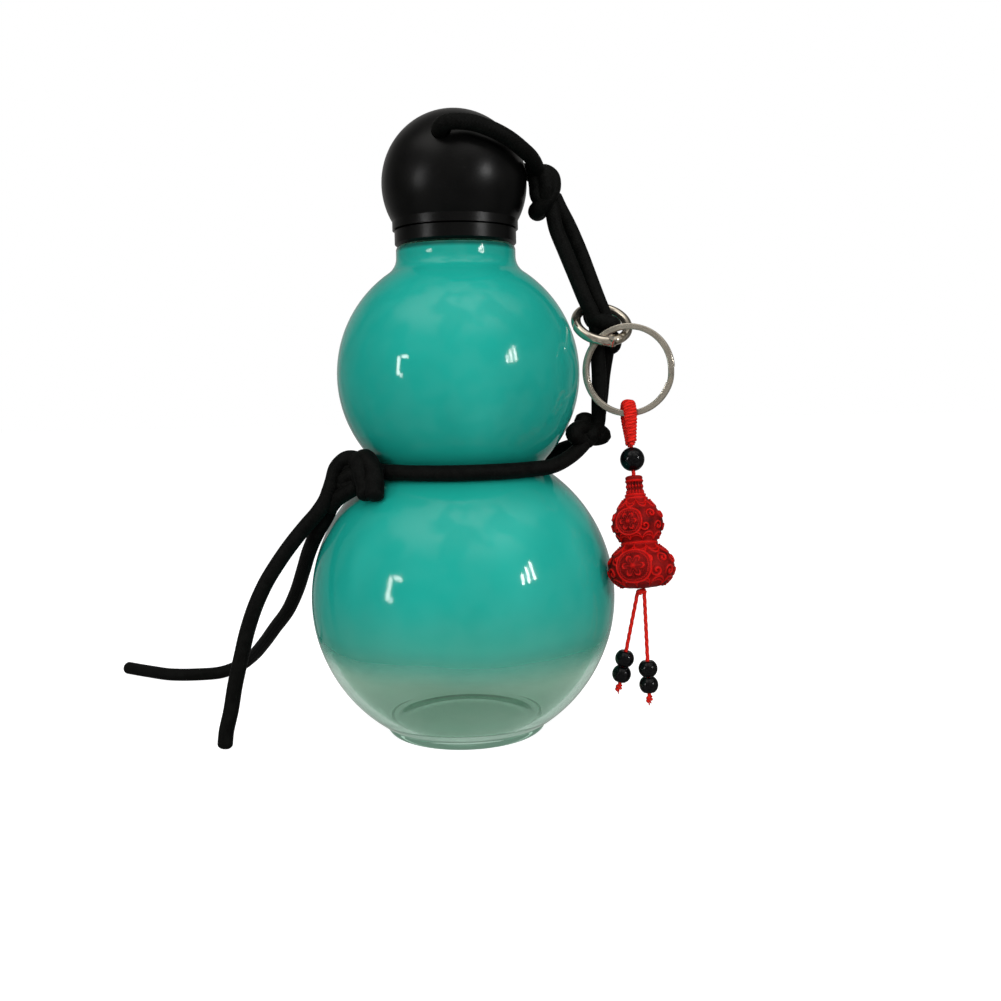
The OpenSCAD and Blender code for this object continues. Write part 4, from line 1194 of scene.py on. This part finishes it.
def carving(theta, s, r, z):
    """Height of the carving, in shares of its depth, over the gourd's turned surface."""
    cut = np.zeros_like(theta + z)

    def window(low, high, soft):
        """One between two heights and none beyond them."""
        return 1 / (1 + np.exp(-(z - low) / soft)) / (1 + np.exp((z - high) / soft))

    def around(centre, height):
        """Distances over the surface from a place on it, across and along, and as a radius and an angle."""
        x = r * np.angle(np.exp(1j * (theta - centre)))
        y = s - s[np.argmin(np.abs(z[:, 0] - height))]
        return x, y, np.hypot(x, y), np.arctan2(y, x)

    cut += 0.7 * np.cos(8 * theta + 1.9 * z) * np.cos(8 * theta - 1.9 * z) * window(-5.4, -2.2, 0.15)
    for level, strong, width in ((-1.7, 0.9, 0.3), (-5.9, 1.0, 0.34), (-6.9, 0.8, 0.26), (-20.55, 0.9, 0.3)):
        cut += strong * bump_line(z - level, width)
    for level, way, count, tall in (
        (-7.5, -1, 9, 2.3), (-19.7, 1, 10, 2.0), (-21.4, -1, 11, 2.3), (-33.2, 1, 11, 2.2),
    ):
        scallop = tall * np.abs(np.cos(count * theta / 2)) ** 0.6
        cut += 0.85 * bump_line(z - level - way * scallop, 0.27)
        cut += 0.55 * bump_line(z - level - way * 0.55 * scallop, 0.2)

    scroll = np.full_like(cut, -1.0)
    for height, count, size, offset in (
        (-12.2, 10, 2.0, 0.2), (-15.8, 10, 2.0, 0.7), (-25.5, 12, 2.35, 0.1), (-29.4, 12, 2.35, 0.6),
    ):
        for k in range(count):
            _, _, rho, phi = around(FULL_TURN * (k + offset) / count, height)
            way = 1 if k % 2 else -1
            wave = np.cos(FULL_TURN * (rho / (0.62 * size) - way * phi / FULL_TURN + 0.2))
            near = np.clip((size - rho) / (0.35 * size), 0, 1)
            scroll = np.maximum(scroll, wave * near - (1 - near))
    free = window(-17.4, -10.4, 0.25) + window(-30.9, -24.2, 0.25)
    cut += 0.85 * np.clip(scroll + 0.30, -0.25, 1.2) * np.clip(free, 0, 1)

    for height, radius, centres in ((-14.1, 4.3, (-122, 58)), (-27.4, 5.5, (-114, 66))):
        for azimuth in centres:
            x, y, rho, phi = around(math.radians(azimuth), height)
            inside = 1 / (1 + np.exp((rho - radius - 0.25) / 0.09))
            petals = radius * 0.60 * np.abs(np.cos(3 * phi)) ** 0.45
            leaf = 1.0 * bump_line(rho - petals, 0.34) + 0.9 * bump_line(rho, radius * 0.16)
            veins = 0.35 * np.cos(6 * phi) * bump_line(rho - radius * 0.33, radius * 0.16)
            lattice = 0.35 * np.cos((x + y) * 5.2) * np.cos((x - y) * 5.2) * (rho > petals + 0.2) * (rho < radius - 0.7)
            rim = 1.2 * bump_line(rho - radius, 0.36) + 0.7 * bump_line(rho - radius + 0.85, 0.22)
            cut = cut * (1 - inside) + inside * (leaf + veins + lattice + rim - 0.25)
    return cut


class FLASK_OT_gourd(bpy.types.Operator):
    """Turns the red gourd and carves its medallions, scrolls, petals and fluted neck"""

    bl_idname = "flask.gourd"
    bl_label = "Carved gourd"

    def execute(self, context):
        deep, bore_r, around = context.scene.flask_charm.depth * MM_PER_M, 0.76, 352
        outline = [
            (bore_r, -0.05), (1.5, -0.02), (2.1, 0), (2.6, -0.2), (2.78, -0.7), (2.62, -1.35), (2.58, -2.4),
            (2.6, -4.2), (2.85, -5.6), (3.5, -6.9), (4.7, -8.3), (6.1, -10.1), (7.25, -12), (7.78, -13.9),
            (7.5, -16), (6.6, -18.1), (5.75, -19.6), (5.4, -20.55), (5.85, -21.3), (7.05, -22.3), (8.5, -23.7),
            (9.6, -25.5), (10.08, -27.7), (9.6, -29.9), (8.5, -31.8), (6.8, -33.1), (4.6, -33.85), (2.4, -34),
            (bore_r, -33.95),
        ]
        line, s = curve_through([(r, 0, z) for r, z in outline], 0.192)
        r, z = line[:, :1], line[:, 2:]
        dr, dz = np.gradient(line[:, 0])[:, None], np.gradient(line[:, 2])[:, None]
        size = np.hypot(dr, dz)
        theta = round_angles(around)[None, :]
        cut = carving(theta, s[:, None], r, z)
        edge = np.clip((r - 1.6) / 1.0, 0, 1)
        lift = (np.clip(cut, -0.5, 1.6) - 0.35) * deep * edge
        out, height = r - lift * dz / size, z + lift * dr / size
        rings = np.stack([out * np.cos(theta), out * np.sin(theta), height], -1)
        bore_z = np.array((-22.6, -11.4))[:, None]
        bore = np.stack(np.broadcast_arrays(bore_r * np.cos(theta), bore_r * np.sin(theta), bore_z), -1)
        skins = Skins()
        skins.add(np.concatenate([rings, bore]), np.r_[s, s[-1] + 11, s[-1] + 22] / COORDINATE_STEP, looped=True,
                  cut=np.concatenate([cut, np.zeros((2, around))]))
        gourd = place(skins.build("gourd_carving"), CHARM @ shift(0, 0, -GOURD_DOWN))
        face_outwards(gourd)
        finish_piece(gourd, carved_red, "charm", "charm_gourd")
        return {"FINISHED"}


class FLASK_OT_tassels(bpy.types.Operator):
    """Hangs the two short tassels with their beads and knotted ends"""

    bl_idname = "flask.tassels"
    bl_label = "Tassels"

    def execute(self, context):
        model = lathe("bead_small", bead_outline(5.7, 4.7, 0.68), 56)
        rng = np.random.default_rng(11)
        for side, pivot, hang, beads in (
            ("left", TASSEL_LEFT, (-10.8, 3), (21.5, 26.4)),
            ("right", TASSEL_RIGHT, (2, -3), (23.8, 28.7)),
        ):
            body = f"tassel_{side}"
            hung = shift(*pivot) @ rotate(-hang[0], "Y") @ rotate(hang[1], "X")
            end = beads[1] + 4.4
            skins = Skins()
            red_cord(skins, 1.24, -0.2, -8, -16, -end)
            twist = place(skins.build(f"tassel_twist_{side}"), hung)
            finish_piece(twist, red_strand, body, f"tassel_cord_{side}")

            skins = Skins()
            turns, points = 1.75, 40
            knot = []
            for i in range(points):
                share = i / (points - 1)
                a = FULL_TURN * turns * share
                knot.append((0.62 * math.cos(a), 0.62 * math.sin(a), -end + 0.75 - 1.5 * share))
            cord_skin(skins, knot, 0.95, around=14, step=0.12, twist=(3, 1.9, 0.1))
            for _ in range(11):
                a, out, tall = rng.uniform(0, 6.28), rng.uniform(0.15, 0.75), rng.uniform(1.0, 2.1)
                strand = [
                    (reach * math.cos(a), reach * math.sin(a), -end + up)
                    for reach, up in ((0.2, 0.3), (0.45 * out, -0.4 * tall), (out, -tall))
                ]
                cord_skin(skins, strand, 0.26, around=6, step=0.35)
            knot = place(skins.build(f"tassel_knot_{side}"), hung)
            finish_piece(knot, red_strand, body, f"tassel_end_{side}")
            for spot, down in zip(("upper", "lower"), beads):
                bead = place(new_object(f"bead_{side}_{spot}", model.data.copy()), hung @ shift(0, 0, -down))
                finish_piece(bead, bead_black, body, f"tassel_bead_{side}_{spot}", smooth=40)
        bpy.data.objects.remove(model)
        return {"FINISHED"}


class FLASK_PT_panel(bpy.types.Panel):
    """Lists the flask's sizes, colours and makers"""

    bl_label = "Glass gourd flask"
    bl_space_type = "VIEW_3D"
    bl_region_type = "UI"
    bl_category = "Flask"

    def draw(self, context):
        for heading, look in LOOKS:
            box = self.layout.box()
            box.label(text=heading)
            group = getattr(context.scene, look)
            for name in group.__annotations__:
                box.prop(group, name)
        for maker in MAKERS:
            self.layout.operator(maker.bl_idname)


LOOKS = [
    ("Glass", "flask_glass"), ("Cord", "flask_cord"), ("Metal", "flask_metal"), ("Charm", "flask_charm"),
    ("Stage", "flask_stage"),
]
GROUPS = [FlaskGlassLook, FlaskCordLook, FlaskMetalLook, FlaskCharmLook, FlaskStageLook]
MAKERS = [
    FLASK_OT_stage, FLASK_OT_tails, FLASK_OT_strands, FLASK_OT_knots, FLASK_OT_glass, FLASK_OT_coat, FLASK_OT_cap,
    FLASK_OT_gate_ring, FLASK_OT_split_ring, FLASK_OT_charm_loop, FLASK_OT_beads, FLASK_OT_gourd, FLASK_OT_tassels,
]


def register():
    for made in GROUPS + MAKERS + [FLASK_PT_panel]:
        bpy.utils.register_class(made)
    for (_, look), group in zip(LOOKS, GROUPS):
        setattr(bpy.types.Scene, look, PointerProperty(type=group))


def unregister():
    for _, look in LOOKS:
        delattr(bpy.types.Scene, look)
    for made in reversed(GROUPS + MAKERS + [FLASK_PT_panel]):
        bpy.utils.unregister_class(made)


def main():
    register()
    for maker in MAKERS:
        family, name = maker.bl_idname.split(".")
        getattr(getattr(bpy.ops, family), name)()
    bpy.context.view_layer.update()


if __name__ == "__main__":
    main()
